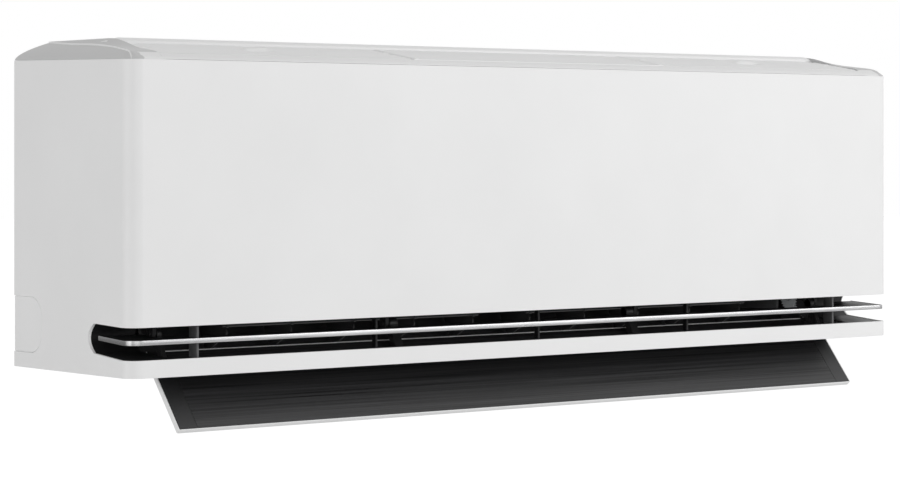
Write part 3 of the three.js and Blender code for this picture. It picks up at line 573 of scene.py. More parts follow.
def sleeve(route, radius, sides=20):
    """A round bar along a route of (x, depth, height) points: a ring of points about each one,
    square to the route, carried on from the ring before so that it doesn't twist."""
    centres = place(*np.asarray(route, float).T)
    run = np.gradient(centres, axis=0)
    run /= np.linalg.norm(run, axis=1, keepdims=True)
    radius = np.broadcast_to(np.asarray(radius, float), len(centres))
    start = np.cross(run[0], (0.0, 0.3, 1.0))
    sides_of = [start / np.linalg.norm(start)]
    for step in run[1:]:
        carried = sides_of[-1] - step * (sides_of[-1] @ step)
        sides_of.append(carried / np.linalg.norm(carried))
    side = np.array(sides_of)
    other = np.cross(run, side)
    turn = np.linspace(0, 2 * np.pi, sides, endpoint=False)
    return closed_rings(centres[:, None] + radius[:, None, None] * MM * (
        np.cos(turn)[None, :, None] * side[:, None] + np.sin(turn)[None, :, None] * other[:, None]))


print("mesh helpers ready")

# %% [markdown]
# The slot wraps round both ends of the unit. On the front it is level, on the sides both of its
# edges climb towards the wall, and it ends in a bow. These few numbers place the slot, its black
# lining and the blade, so that they always agree.

# %% The slot's outline
SLOT_LOW = 16.3
SLOT_HIGH = 46.2
SLOT_END = 62.5       # depth where the straight edges end
SLOT_BOW = 9.0        # how far the bow swells beyond that
LOW_CLIMB = 0.086     # climb of the lower edge, for each millimetre of depth
HIGH_CLIMB = 0.037
RECESS = 1.6          # width of the white recess that frames the bow


def climb(depth, height):
    """Height on the side, where everything in the slot climbs in proportion to its place in it."""
    share = (height - SLOT_LOW) / (SLOT_HIGH - SLOT_LOW)
    rate = LOW_CLIMB + (HIGH_CLIMB - LOW_CLIMB) * share
    return height + rate * np.maximum(0.0, depth - CORNER)


def slot_edge(margin, swell, steps=29):
    """The bow's outline from its lower to its upper end: a flat arc whose swell is 1 - (2t - 1)^2
    of its greatest one, so that it leaves both edges with a corner."""
    s = np.linspace(0, 1, steps)
    share = (1 - np.cos(np.pi * s)) / 2
    height = (SLOT_LOW - margin) + (SLOT_HIGH - SLOT_LOW + 2 * margin) * share
    depth = SLOT_END + (SLOT_BOW + margin + swell) * (1 - (2 * share - 1) ** 2)
    return np.stack([depth, climb(SLOT_END, height)], axis=1)


print("slot", round(SLOT_HIGH - SLOT_LOW, 1), "mm high")

# %% [markdown]
# In plan the unit is a U with two rounded corners. Anything that follows its face, such as the
# cover or the blade, is a section carried along this U at some distance inside the face.

# %% The unit's outline in plan
CORNER_X = HALF - CORNER


def plan_path(inset, end, steps=15):
    """(x, depth) points of the U at a distance inside the outer face: from a depth on the left
    side forward, round the corner, along the front, and back to the same depth on the right.
    A corner is x = centre - r cos a, depth = centre - r sin a, with r = corner radius - inset."""
    turn = np.linspace(0, np.pi / 2, steps)
    radius = CORNER - inset
    left = np.stack([-CORNER_X - radius * np.cos(turn), CORNER - radius * np.sin(turn)], axis=1)
    if end > CORNER:
        left = np.concatenate([[[left[0, 0], end]], left])
    return np.concatenate([left, left[::-1] * (-1, 1)])


def half_width(depth, inset):
    """Half the width of the unit at a depth, at a distance inside its outer face."""
    radius = CORNER - inset
    into = np.clip(CORNER - np.asarray(depth, float), 0, radius)
    return CORNER_X + np.sqrt(radius ** 2 - into ** 2)


def along_plan(inset, end, section, height):
    """A closed section of (out, up) points carried along the U; height(depth, up) gives the height
    of a point, so that a piece may climb on the sides."""
    lines = [plan_path(inset - out, end) for out, _ in section]
    return closed_rings(np.stack([place(line[:, 0], line[:, 1], height(line[:, 1], up))
                                  for line, (_, up) in zip(lines, section)], axis=1))


print("corner radius", CORNER, "mm")

# %% [markdown]
# The cover is one white moulding. Its sides are flat sheets with the slot and the knock-out cut
# from their outline; two strips, above and below the slot, carry it round the corners and along
# the front. The outer outline of a side swells a little more round the bow than the inner one,
# and the wall between them is the pale recess that frames the black end of the slot.

# %% Front cover
NOTCH_GAP = 0.3


def knockout_outline(grow):
    """The knock-out in a side view, open to the rear: its nose has two arcs of 20 mm radius."""
    front, bottom, top, nose = 157 - grow, 15 - grow, 68 + grow, 20.0
    turn = np.linspace(0, np.pi / 2, 12)
    upper = np.stack([front + nose - nose * np.sin(turn), top - nose + nose * np.cos(turn)], axis=1)
    lower = np.stack([front + nose - nose * np.cos(turn), bottom + nose - nose * np.sin(turn)], axis=1)
    rear = BACK if grow else BACK - 1
    return np.concatenate([[[rear, top]], upper, lower, [[rear, bottom]]])


def side_outline(swell):
    """A side of the cover: up its front edge, back along the top, down and round the knock-out,
    forward along the bottom, and round the slot."""
    top_rear = TOP_EDGE + EDGE_RISE * (BACK - CORNER)
    start = [[CORNER, SLOT_HIGH], [CORNER, TOP_EDGE], [BACK, top_rear]]
    end = [[BACK, 0], [CORNER, 0], [CORNER, SLOT_LOW]]
    return np.concatenate([start, knockout_outline(NOTCH_GAP), end, slot_edge(0, swell)])


def cover_side(sign):
    """Two flat faces with the same number of corners and a wall between them, except on the two
    front edges, where the strips join on."""
    outer, inner = side_outline(RECESS), side_outline(0)
    count = len(outer)
    points = np.concatenate([place(sign * HALF, *outer.T), place(sign * (HALF - WALL), *inner.T)])
    here = np.arange(count)
    after = np.roll(here, -1)
    walls = np.stack([here, after, after + count, here + count], axis=1)
    lower_front = count - len(slot_edge(0, 0)) - 2
    walls = np.delete(walls, [0, lower_front], axis=0)
    return points, [tuple(here), tuple(here[::-1] + count), *map(tuple, walls)]


def cover_strip(low, high):
    """A strip of the cover from one height to another, open at both its ends."""
    section = [(WALL / 2, low), (WALL / 2, high), (-WALL / 2, high), (-WALL / 2, low)]
    points, faces = along_plan(WALL / 2, CORNER, section, lambda depth, up: up + 0 * depth)
    return points, faces[:-2]


cover = piece("front_cover_shell",
              [cover_side(-1), cover_side(1), cover_strip(0, SLOT_LOW), cover_strip(SLOT_HIGH, TOP_EDGE)],
              ["front_cover"], "white_shell", weld=0.02)
rounded(cover, 0.5)
for side, sign in SIDES:
    ends = sorted((sign * (HALF - WALL), sign * HALF))
    knockout = piece(f"knockout_{side}", [bar(knockout_outline(0), *ends)],
                     [f"knockout_cover_{side}"], "white_shell")
    rounded(knockout, 0.55)
print("cover faces", len(cover.data.polygons))

# %% [markdown]
# The lining of the slot is polished black: a channel that follows the slot's outline on each side
# and a floor and a ceiling along the front. A channel is the outline carried inwards, with its
# outer edge cut to the rounded corner of the cover.

# %% Slot lining
LINING = 2.2
LINER_GAP = 0.5
LINER_FACE = 3.1      # how far the lining stays inside the unit's outer face
OUTLET_HALF = 449.5


def liner_outline(margin):
    """The slot's outline grown by a margin: forward edges first, then the bow between them."""
    front = np.linspace(LINER_FACE + 0.1, CORNER, 9)
    lower = np.stack([front, np.full(9, SLOT_LOW - margin)], axis=1)
    upper = np.stack([front[::-1], np.full(9, SLOT_HIGH + margin)], axis=1)
    return np.concatenate([lower, slot_edge(margin, 0), upper])


def liner_channel(sign):
    """The channel on one side: the outline at five places from the cover inwards."""
    across = np.linspace(0, 1, 5)
    faces_of = []
    for margin in (LINER_GAP, LINER_GAP + LINING):
        outline = liner_outline(margin)
        wide = half_width(outline[:, 0], LINER_FACE)
        x = OUTLET_HALF + (wide[:, None] - OUTLET_HALF) * across[None, :]
        faces_of.append(place(sign * x, outline[:, :1], outline[:, 1:]))
    return slab(*faces_of)


FLOOR_Z = SLOT_LOW - 0.4
CEILING_Z = SLOT_HIGH + LINER_GAP


def front_strip(back, low, high):
    """A level strip of the lining along the front."""
    return carried("depth", [(-OUTLET_HALF - 2, low), (OUTLET_HALF + 2, low),
                             (OUTLET_HALF + 2, high), (-OUTLET_HALF - 2, high)], LINER_FACE - 0.1, back)


piece("slot_lining", [liner_channel(-1), liner_channel(1), front_strip(20, FLOOR_Z - LINING, FLOOR_Z),
                      front_strip(28, CEILING_Z, CEILING_Z + LINING)], ["slot_liner"], "black_gloss")
print("lining", LINING, "mm thick")

# %% [markdown]
# The blade is a black plate that fills the middle of the slot, edged with a silver strip that
# runs round both corners. The strip is a small rounded section carried along the U. The plate is a
# grid between the outer U and the edge of the opening behind it; the cells where the grey posts
# pass through are left out.

# %% Blade and its strip
BLADE_LOW, BLADE_HIGH = 29.9, 34.4
STRIP_INSET, STRIP_WIDE = 1.5, 1.2
WING_END = 57.0       # depth where the blade ends on the sides
WING_PAD = 453.0      # inner edge of the blade's wings
PLATE_BACK = 26.0     # rear edge of the blade along the front
POST_X, POST_HALF = 420.0, 1.3
POST_FRONT, POST_REAR = 10.0, 23.5

section = rounded_rectangle(-STRIP_WIDE / 2, STRIP_WIDE / 2, BLADE_LOW, BLADE_HIGH, 0.25)
piece("blade_strip", [along_plan(STRIP_INSET + STRIP_WIDE / 2, WING_END, section, climb)],
      ["blade_trim"], "silver_trim", sharp=50)


def blade_plate():
    """Rows follow the outer U; columns run from it to the nearest point of the inner edge."""
    face = STRIP_INSET + STRIP_WIDE + 0.3
    hole_half = POST_HALF + 0.3
    wing = plan_path(face, WING_END - 0.5)
    half = wing[:len(wing) // 2]
    wing_rows = np.stack([np.full(6, half[0, 0]), np.linspace(half[0, 1], CORNER, 7)[:-1]], axis=1)
    stops = [-WING_PAD, -POST_X - hole_half, -POST_X + hole_half, -300, -150]
    front_rows = np.stack([stops, np.full(5, face)], axis=1)
    left = np.concatenate([wing_rows, half[1:], front_rows])
    outer = np.concatenate([left, left[::-1] * (-1, 1)])
    inner = np.stack([np.clip(outer[:, 0], -WING_PAD, WING_PAD),
                      np.maximum(PLATE_BACK, np.where(abs(outer[:, 0]) > WING_PAD, outer[:, 1], 0))], axis=1)
    first = (POST_FRONT - 0.3 - face) / (PLATE_BACK - face)
    last = (POST_REAR + 0.3 - face) / (PLATE_BACK - face)
    share = np.array([0, first / 2, first, (first + last) / 2, last, 1])
    flat = outer[:, None] + (inner - outer)[:, None] * share[None, :, None]
    keep = np.ones((len(outer) - 1, len(share) - 1), bool)
    middle = (flat[:-1, 0, 0] + flat[1:, 0, 0]) / 2
    keep[np.abs(np.abs(middle) - POST_X) < 0.5, 2:4] = False
    x, depth = flat[..., 0], flat[..., 1]
    top, bottom = (place(x, depth, climb(depth, level)) for level in (BLADE_HIGH - 0.4, BLADE_LOW + 0.4))
    return slab(top, bottom, keep)


THIN_POST_X, THIN_POST_FRONT, THIN_POST_REAR = 207.0, 18.0, 24.0
thin_posts = [carried("height", rounded_rectangle(x - POST_HALF, x + POST_HALF, THIN_POST_FRONT,
                                                  THIN_POST_REAR, 0.5, 3), FLOOR_Z - 2, CEILING_Z - 0.3)
              for x in (-THIN_POST_X, 0.0, THIN_POST_X)]
piece("blade_body", [blade_plate(), *thin_posts], ["blade_plate"], "black_gloss", weld=0.01)

for side, sign in SIDES:
    x0, x1 = sign * POST_X - POST_HALF, sign * POST_X + POST_HALF
    post = rounded_rectangle(x0, x1, POST_FRONT, POST_REAR, 0.5, 3)
    piece(f"blade_support_{side}", [carried("height", post, FLOOR_Z + 0.3, CEILING_Z - 0.3)],
          [f"blade_post_{side}"], "grey_post")
print("blade", round(BLADE_HIGH - BLADE_LOW, 1), "mm thick")

# %% [markdown]
# The top is a slightly different white. Each end rises from the cover as a curved shoulder up to
# a crease that runs back and inwards. A small ledge marks the crease. Inside it the surface is low
# in front, and rises to a flat dome beside the grille. All of it is one height over the plan.

# %% Curves of the top
CREASE = smooth_line([(0, 3.0), (4.5, 4.2), (16, 8.5), (39, 14), (66, 20), (113, 27), (150, 29.5),
                      (207, 37.6), (210, 37.8)], 200)
END_INNER = 462.0     # inner face of an end block
DOME = 313.3          # height that the end blocks reach beside the grille
LEDGE = 1.0           # small step up at the crease
TOP_FLOOR = 286.0


def cover_top(depth):
    """Height of the cover's top edge on a side at a depth."""
    return TOP_EDGE + EDGE_RISE * np.maximum(0, depth - CORNER)


def crease(depth):
    """How far the crease runs inside the outer face at a depth."""
    return np.interp(depth, CREASE[:, 0], CREASE[:, 1])


def eased(value, low, high):
    """0 below low, 1 above high, and a smooth step 3t^2 - 2t^3 between them."""
    t = np.clip((value - low) / (high - low), 0, 1)
    return t * t * (3 - 2 * t)


def shoulder(inset, depth):
    """The outer surface: its rise is a power of the distance inside the face, lower in front."""
    rise = 1.858 * (0.68 + 0.32 * eased(depth, 2, 20))
    return cover_top(depth) + 0.3 + rise * np.maximum(inset - 0.6, 0) ** 0.62


def end_height(x, depth):
    """Height of an end block: the shoulder up to the crease, then a low slope in front that rises
    into the dome further back."""
    across, ahead = np.abs(x) - CORNER_X, CORNER - depth
    in_corner = (across > 0) & (ahead > 0)
    inset = np.where(in_corner, CORNER - np.hypot(across, ahead),
                     np.minimum(HALF - np.abs(x), np.where(across > 0, 1e3, depth)))
    edge = crease(depth)
    low = shoulder(edge, depth)
    share = np.clip((inset - edge) / np.maximum(HALF - END_INNER - edge, 0.5), 0, 1)
    inner = low + eased(depth, 40, 98) * np.maximum(DOME - LEDGE - low, 0) * share ** 0.8
    step = LEDGE * eased(inset, edge, edge + 0.35) * eased(depth, 4, 12)
    return np.where(inset < edge, shoulder(inset, depth), inner + step)


print("dome", DOME, "mm high, crease", round(float(crease(66)), 1), "mm inside the face")

# %% [markdown]
# An end block is a grid whose rows are closer together at the front, where it turns round the
# corner, and whose columns are closer near the outer face, where the crease is.

# %% Top frame
RIDGE_FRONT, RIDGE_REAR, RIDGE_HALF = 84.0, 104.0, 471.0
GRILLE_REAR = 185.5
RIB_X = 162.0


def end_block(sign):
    """One end of the top, closed underneath just above the cover's edge."""
    depth = np.concatenate([np.linspace(0.65, CORNER + 1, 56), np.linspace(CORNER + 1, BACK - 0.3, 100)[1:]])
    wide = half_width(depth, 0.6)
    edge = np.minimum(HALF - crease(depth), wide - 1.0)
    outside = np.linspace(0, 1, 34)[:-1] ** 1.4
    beside = np.linspace(0, 0.35, 4)[:-1]
    inside = np.linspace(0, 1, 22)
    x = np.concatenate([wide[:, None] + (edge - wide)[:, None] * outside, edge[:, None] - beside,
                        edge[:, None] - 0.35 + (END_INNER - edge + 0.35)[:, None] * inside], axis=1)
    deep = np.broadcast_to(depth[:, None], x.shape)
    return slab(place(sign * x, deep, end_height(x, deep)), place(sign * x, deep, cover_top(deep) + 0.15))


def end_skirt(sign):
    """The part of an end block that stands inside the cover."""
    inner = 3.4
    corner = plan_path(inner, CORNER)[:15] * (-1, 1)
    behind = [[HALF - inner, BACK - 0.4], [END_INNER, BACK - 0.4]]
    outline = np.concatenate([[[END_INNER, inner]], corner[::-1], behind])
    return carried("height", outline * (sign, 1), TOP_FLOOR, TOP_EDGE + 0.6)


def ridge():
    """The ridge's section at four places; at both ends its crown comes down a little."""
    outline = np.array([(RIDGE_FRONT, 302), (RIDGE_FRONT, 310.4), (84.6, 311.2), (88, 313.2), (90.4, 313.8),
                        (93, 314), (95.6, 313.8), (98, 313.4), (103.4, 309.6), (RIDGE_REAR, 308.8),
                        (RIDGE_REAR, 302)])
    x = np.array([-RIDGE_HALF, -RIDGE_HALF + 16, RIDGE_HALF - 16, RIDGE_HALF])
    squash = np.array([0.68, 1, 1, 0.68])
    height = 302 + (outline[:, 1] - 302)[None, :] * squash[:, None]
    return closed_rings(place(x[:, None], outline[None, :, 0], height))


for side, sign in SIDES:
    end = piece(f"top_end_{side}", [end_block(sign), end_skirt(sign)], ["top_frame"], "top_white", sharp=42)
    # Painted shade on an end block: its points are marked to be darkened, all but the ledge along the crease
    # and the part within 13 mm of the front and inside 484 mm from the middle, which keep the plain colour.
    spots = np.empty(3 * len(end.data.vertices))
    end.data.vertices.foreach_get("co", spots)
    x, y, _ = spots.reshape(-1, 3).T / MM
    depth = y - FRONT_Y / MM
    on_ledge = (HALF - np.abs(x) > crease(depth) - 0.02) & (HALF - np.abs(x) < crease(depth) + 0.5)
    shade_painted_here = (np.abs(x) > END_INNER - 0.5) & ~((depth < 13) & (np.abs(x) < 484)) & ~on_ledge
    end.data.attributes.new("painted_shade_end", "FLOAT", "POINT").data.foreach_set("value", shade_painted_here.astype(float))
rim = [(0.65, 291.2), (0.8, 292.0), (5.2, 294.8), (8.5, 296.0), (12.6, 297.1), (13, 288), (3.4, 288),
       (3.4, 291.2)]
rounded(piece("top_rim", [bar(rim, -END_INNER - 1, END_INNER + 1)], ["top_frame"], "top_white"), 0.35, 2)
rounded(piece("top_ridge", [ridge()], ["top_frame"], "top_white", sharp=40), 0.4, 2, 50)
rear = [(186, 300.5), (197, 298), (BACK - 0.3, 294.6), (BACK - 0.3, 287), (186, 287)]
rounded(piece("top_rear", [bar(rear, -END_INNER - 5, END_INNER + 5)], ["top_frame"], "top_white"), 0.7, 3)
print("top frame: two ends, rim, ridge and rear bar")

# %% [markdown]
# Between the rim and the ridge lie the filters' lids and the centre panel between them. They are
# one gentle slope, so they share a height function. A lid has a finger grip (a scoop in front of a
# raised lip), a small latch near each end and two notches under the ridge, which are all small
# smooth hills and hollows added to the slope.

# %% Filter lids and centre panel
SLOPE = smooth_line([(10, 297.0), (14, 297.8), (34, 301.0), (60, 305.1), (83.3, 308.6), (90, 309.5)], 80)
LID_INNER, LID_OUTER = 167.0, 461.0
LID_FRONT, LID_REAR, LID_THICK = 14.0, 83.3, 2.4
GRIP_X, LATCHES = 325.0, (171.0, 452.0)
NOTCHES = ((318.0, 3.0, 10, 3.6), (449.0, 3.4, 9, 6.0))     # x, drop and half sizes


def hill(x, depth, at_x, at_depth, half_x, half_depth, power=4):
    """1 on a rounded patch and 0 away from it: exp(-|u|^power - |v|^power)."""
    return np.exp(-np.abs((x - at_x) / half_x) ** power - np.abs((depth - at_depth) / half_depth) ** power)


def lid_height(x, depth):
    """The slope of a lid with its grip, latches and notches."""
    height = np.interp(depth, SLOPE[:, 0], SLOPE[:, 1])
    height = height - 4.2 * hill(x, depth, GRIP_X, 44.5, 13, 4.2)
    height = height + 2.2 * hill(x, depth, GRIP_X, 54, 15, 4.5)
    for latch in LATCHES:
        height = height - 2.2 * hill(x, depth, latch, 47.5, 3.2, 2.2)
        height = height + 0.9 * hill(x, depth, latch, 52, 3.4, 2)
    for notch, drop, half_x, half_depth in NOTCHES:
        height = height - drop * hill(x, depth, notch, LID_REAR, half_x, half_depth)
    border = np.minimum(np.minimum(x - LID_INNER, LID_OUTER - x),
                        np.minimum(depth - LID_FRONT, LID_REAR - depth))
    return height - 0.6 * np.exp(-(border / 0.5) ** 2)


def lid(sign):
    """One filter lid as a sheet between two grids."""
    x = np.linspace(LID_INNER, LID_OUTER, 211)[None, :]
    depth = np.linspace(LID_FRONT, LID_REAR, 78)[:, None]
    height = lid_height(x, depth)
    return slab(place(sign * x, depth, height), place(sign * x, depth, height - LID_THICK))


def centre_panel():
    """The fixed panel between the lids, with a raised rib at each end."""
    x = np.concatenate([np.linspace(-166, -156, 21), np.linspace(-155, 155, 32),
                        np.linspace(156, 166, 21)])[None, :]
    depth = np.linspace(11, 83.8, 60)[:, None]
    height = np.interp(depth, SLOPE[:, 0], SLOPE[:, 1]) + 0 * x
    height = height + 0.7 * np.exp(-((np.abs(x) - RIB_X) / 2.6) ** 6)
    height = height - 3.0 * hill(np.abs(x), depth, 158.0, LID_REAR, 9, 3.6)
    return slab(place(x, depth, height), place(x, depth, height - 2.2))


for side, sign in SIDES:
    piece(f"filter_lid_{side}", [lid(sign)], [f"pre_filter_{side}"], "top_white",
          body=f"filter_{side}", sharp=48)
piece("top_centre", [centre_panel()], ["top_frame"], "top_white", sharp=48)
print("lids", LID_OUTER - LID_INNER, "mm long")

# %% [markdown]
# Behind the ridge the intake is an open grille: long slats along the unit over rails across it,
# all following an arch. Each slat is a rounded bar, and the rails are thin arched strips.

# %% Intake grille
GRILLE_HALF = 461.0
GRILLE_FRONT = 104.4


def grille_top(depth):
    """Height of the grille at a depth: a parabola that falls away from the ridge."""
    return 307.5 - (depth - GRILLE_FRONT) ** 2 * 0.0008


slat_depths = np.linspace(GRILLE_FRONT + 1.4, GRILLE_REAR - 1.4, 14)
slats = [bar(rounded_rectangle(d - 1.1, d + 1.1, grille_top(d) - 5.8, grille_top(d) - 0.2, 0.9, 4),
             -GRILLE_HALF, GRILLE_HALF) for d in slat_depths]
line = np.linspace(GRILLE_FRONT + 0.3, GRILLE_REAR - 0.3, 12)
strip = np.concatenate([np.stack([line, grille_top(line) - 1.4], axis=1),
                        np.stack([line, grille_top(line) - 5.4], axis=1)[::-1]])
rails = [bar(strip, x - 0.9, x + 0.9) for x in np.linspace(-GRILLE_HALF + 1.2, GRILLE_HALF - 1.2, 27)]
piece("grille_bars", slats + rails, ["intake_grille"], "top_white")
print("grille", len(slats), "slats over", len(rails), "rails")

# %% [markdown]
# The lower vane is drawn in its own side view, where a point is a distance along it from the front
# edge and a distance above its outer skin, and then set at the angle at which it stands open. The
# shell is a shallow tray: rings of one outline, from the skin up over the rim and down to the
# floor. At both ends its rear rim is low, and the dark end strips cover it.

# %% Lower vane
VANE_HALF, VANE_CHORD, VANE_THICK = 443.5, 90.0, 6.0
VANE_SKIN, VANE_RIM = 2.2, 1.2
PANEL_HALF = 422.0
TIP = (10.0, -53.6)
OPEN_ANGLE = math.radians(50.5)
PIVOT = np.array([60.0, 36.0])
PIN_ALONG, PIN_ABOVE = 69.32, 11.0


def on_vane(along, above):
    """(depth, height) of points given along the vane and above its skin: a turn by the open angle."""
    along, above = np.broadcast_arrays(np.asarray(along, float), above)
    return np.stack([TIP[0] + along * math.cos(OPEN_ANGLE) - above * math.sin(OPEN_ANGLE),
                     TIP[1] + along * math.sin(OPEN_ANGLE) + above * math.cos(OPEN_ANGLE)], axis=-1)


def vane_place(x, along, above):
    """Points of the frame from places on the vane."""
    spot = on_vane(along, above)
    return place(x, spot[..., 0], spot[..., 1])


def tray_ring(inset, above, rim_low):
    """The vane's outline, drawn in by an inset, at a height above the skin; over the end strips the
    rear edge stays at rim_low."""
    x = VANE_HALF - inset
    rear = VANE_CHORD - inset
    soft = rounded_rectangle(-x, x, inset, rear, max(1.6 - inset, 0.3), 5)
    steps = np.array([PANEL_HALF + 0.4, PANEL_HALF, -PANEL_HALF, -PANEL_HALF - 0.4])
    ring = np.concatenate([soft[:5], np.stack([steps, np.full(4, rear)], axis=1), soft[5:]])
    on_rear_end = (ring[:, 1] > rear - 0.01) & (np.abs(ring[:, 0]) > PANEL_HALF + 0.2)
    height = np.where(on_rear_end, np.minimum(above, rim_low), above)
    return vane_place(ring[:, 0], ring[:, 1], height)


REAR_RIM = 3.0        # height of the low rear rim at both ends
TRAY_PROFILE = [(1.2, 0), (0.6, 0.25), (0.2, 0.65), (0, 1.2), (0, 5.5), (0.15, 5.85), (0.5, VANE_THICK),
                (0.9, 5.95), (VANE_RIM, 5.6)]
rings = [tray_ring(inset, above, REAR_RIM) for inset, above in TRAY_PROFILE]
rings.append(tray_ring(VANE_RIM, VANE_SKIN, VANE_SKIN))
piece("vane_tray", [closed_rings(np.stack(rings))], ["vane_shell"], "white_shell",
      body="lower_vane", sharp=50)

# %% [markdown]
# The vane's inner face is a panel with fine lines along it, between two plain end strips. Ears
# stand on it, and the pins of the arms turn in them.

# %% Panel, end strips and ears
LOW, HIGH = VANE_SKIN + 0.3, VANE_THICK - 0.1
EDGE = VANE_RIM + 0.3


def vane_block(x0, x1, a0, a1, w0, w1):
    """A box on the vane between two x, two places along it and two heights above its skin."""
    return bar(on_vane([a0, a1, a1, a0], [w0, w0, w1, w1]), x0, x1)


def ear(x0, x1):
    """An ear with a round top and a hole for the arm's pin."""
    centre = on_vane(PIN_ALONG, PIN_ABOVE)
    outline = capsule(on_vane(PIN_ALONG - 4, 8.0), centre, 5.2)
    return bar(outline, x0, x1, holes=[circle(*centre, 2.4, 24)])


def mirrored(sign, a, b):
    """A range of x on the side with a sign."""
    return (a, b) if sign > 0 else (-b, -a)


panel = [vane_block(-PANEL_HALF, PANEL_HALF, EDGE, VANE_CHORD - EDGE, LOW, HIGH)]
panel += [ear(*mirrored(sign, 164, 168)) for sign in (-1, 1)]
rounded(piece("vane_inner_panel", panel, ["vane_panel"], "brushed_panel", body="lower_vane"), 0.35, 2)
for side, sign in SIDES:
    x0, x1 = mirrored(sign, PANEL_HALF + 0.35, VANE_HALF - EDGE)
    parts = [vane_block(x0, x1, EDGE, VANE_CHORD - 0.2, 3.2, HIGH), ear(*mirrored(sign, 437, 441)),
             bar(on_vane(*circle(84, 4.9, 2.2, 20).T), *mirrored(sign, 424, 430))]
    end = piece(f"vane_strip_{side}", parts, [f"vane_end_{side}"], "dark_plastic", body="lower_vane")
    rounded(end, 0.4, 2)
print("vane", VANE_CHORD, "mm deep, open at", round(math.degrees(OPEN_ANGLE)), "degrees")

# %% [markdown]
# Four arms carry the vane: two slim ones near its ends and two wider ones in the middle. An arm is
# a bar with round ends, drawn in a little at its waist, with a hub at the fixed pivot and a pin at
# each end. The right-hand end arm has a toothed sector, and a small gear on the motor turns it.

# %% Arms and gear
ARM_PIN = on_vane(PIN_ALONG, PIN_ABOVE)
ARM_X = {"vane_arm": (431.0, 5.0), "vane_support": (153.0, 10.0)}
GEAR_CENTRE = np.array([90.0, 40.0])
GEAR_TEETH, SECTOR_TEETH = 24, 36


def waisted(start, end, radius, waist, steps=18):
    """A bar with round ends whose sides come in by a waist: half-width = r - waist sin(pi t)."""
    run = np.asarray(end) - start
    length = np.hypot(*run)
    forward = run / length
    sideways = np.array([-forward[1], forward[0]])
    t = np.linspace(0, 1, steps)[:, None]
    half = radius - waist * np.sin(np.pi * t)
    turn = np.linspace(-np.pi / 2, np.pi / 2, 13)[1:-1, None]
    far = end + radius * (np.cos(turn) * forward + np.sin(turn) * sideways)
    near = start - radius * (np.cos(turn) * forward + np.sin(turn) * sideways)
    return np.concatenate([start + run * t - half * sideways, far,
                           (start + run * t + half * sideways)[::-1], near])


def toothed(centre, pitch, teeth, first, numbers):
    """Tooth outline: each tooth is four points, two at its foot and two at its tip. Its module is
    the pitch diameter over the number of teeth."""
    module = 2 * pitch / teeth
    spread_of = np.array([-0.33, -0.14, 0.14, 0.33]) * 2 * np.pi / teeth
    radius = np.array([pitch - 1.05 * module, pitch + 0.85 * module] * 2)[[0, 1, 3, 2]]
    angle = first + numbers[:, None] * 2 * np.pi / teeth + spread_of[None, :]
    points = np.stack([centre[0] + radius * np.cos(angle), centre[1] + radius * np.sin(angle)], axis=-1)
    return points.reshape(-1, 2)


between = GEAR_CENTRE - PIVOT
distance = float(np.hypot(*between))
facing = math.atan2(between[1], between[0])
gear_pitch = distance * GEAR_TEETH / (GEAR_TEETH + SECTOR_TEETH)
sector_pitch = distance - gear_pitch

for name, (inner, width) in ARM_X.items():
    for side, sign in SIDES:
        x0, x1 = mirrored(sign, inner, inner + width)
        pins = mirrored(sign, inner + width - 1, inner + width + 5)
        parts = [bar(waisted(PIVOT, ARM_PIN, 4.4, 0.8), x0, x1), bar(circle(*PIVOT, 5.5), x0, x1),
                 bar(circle(*PIVOT, 2.0, 20), *pins), bar(circle(*ARM_PIN, 2.0, 20), *pins)]
        if (name, side) == ("vane_arm", "right"):
            teeth = toothed(PIVOT, sector_pitch, SECTOR_TEETH, facing, np.arange(-8, 2))
            parts.append(bar(np.concatenate([[PIVOT], teeth]), x0, x1))
        arm = piece(f"{name}_bar_{side}", parts, [f"{name}_{side}"], "dark_plastic", body="vane_arms")
        rounded(arm, 0.35, 2, 50)

first_tooth = facing + np.pi + np.pi / GEAR_TEETH
gear_outline = toothed(GEAR_CENTRE, gear_pitch, GEAR_TEETH, first_tooth, np.arange(GEAR_TEETH))
bore = [circle(*GEAR_CENTRE, 2.8, 24)]
gear = [bar(gear_outline, 431.4, 435.8, bore), bar(circle(*GEAR_CENTRE, 6.0), 431.0, 431.6, bore)]
piece("drive_pinion", gear, ["drive_gear"], "inner_plastic", body="drive_gear", sharp=30)
print("gear ratio", SECTOR_TEETH / GEAR_TEETH, "pitch radius", round(gear_pitch, 2), "mm")

# %% [markdown]
# Inside the outlet, upright louvres turn the air to the left or right. Each stands square to the
# rear wall of the duct on its own pin, and a bar links the five of a side. They are drawn by their
# distance out from that wall and their place along the flow.

# %% Louvres
FOOT = np.array([133.5, 42.0])
FLOW = np.array([-0.489, -0.873])
LOUVRE_XS = 38.0 + 76.0 * np.arange(5)


def beside_wall(out, along):
    """(depth, height) of points given out from the duct's rear wall and along the flow."""
    out, along = np.asarray(out, float), np.asarray(along, float)
    return np.stack([FOOT[0] + out * FLOW[1] + along * FLOW[0],
                     FOOT[1] - out * FLOW[0] + along * FLOW[1]], axis=-1)


def wall_pin(x, radius, out0, out1, steps=20):
    """A round pin square to the duct's wall: circles about its axis at both ends."""
    turn = np.linspace(0, 2 * np.pi, steps, endpoint=False)
    middle = beside_wall([out0, out1], [0, 0])[:, None]
    spot = middle + radius * np.sin(turn)[None, :, None] * FLOW
    return closed_rings(place(x + radius * np.cos(turn)[None, :], spot[..., 0], spot[..., 1]))


def louvre_outline():
    """A fin with rounded corners and a hollow front edge where the air leaves it."""
    plate = rounded_rectangle(3, 45, -6, 38, 5, 7)
    pull = 3.0 * np.sin(np.pi * np.clip((plate[:, 0] - 3) / 42, 0, 1)) * (plate[:, 1] > 30)
    return beside_wall(plate[:, 0], plate[:, 1] - pull)


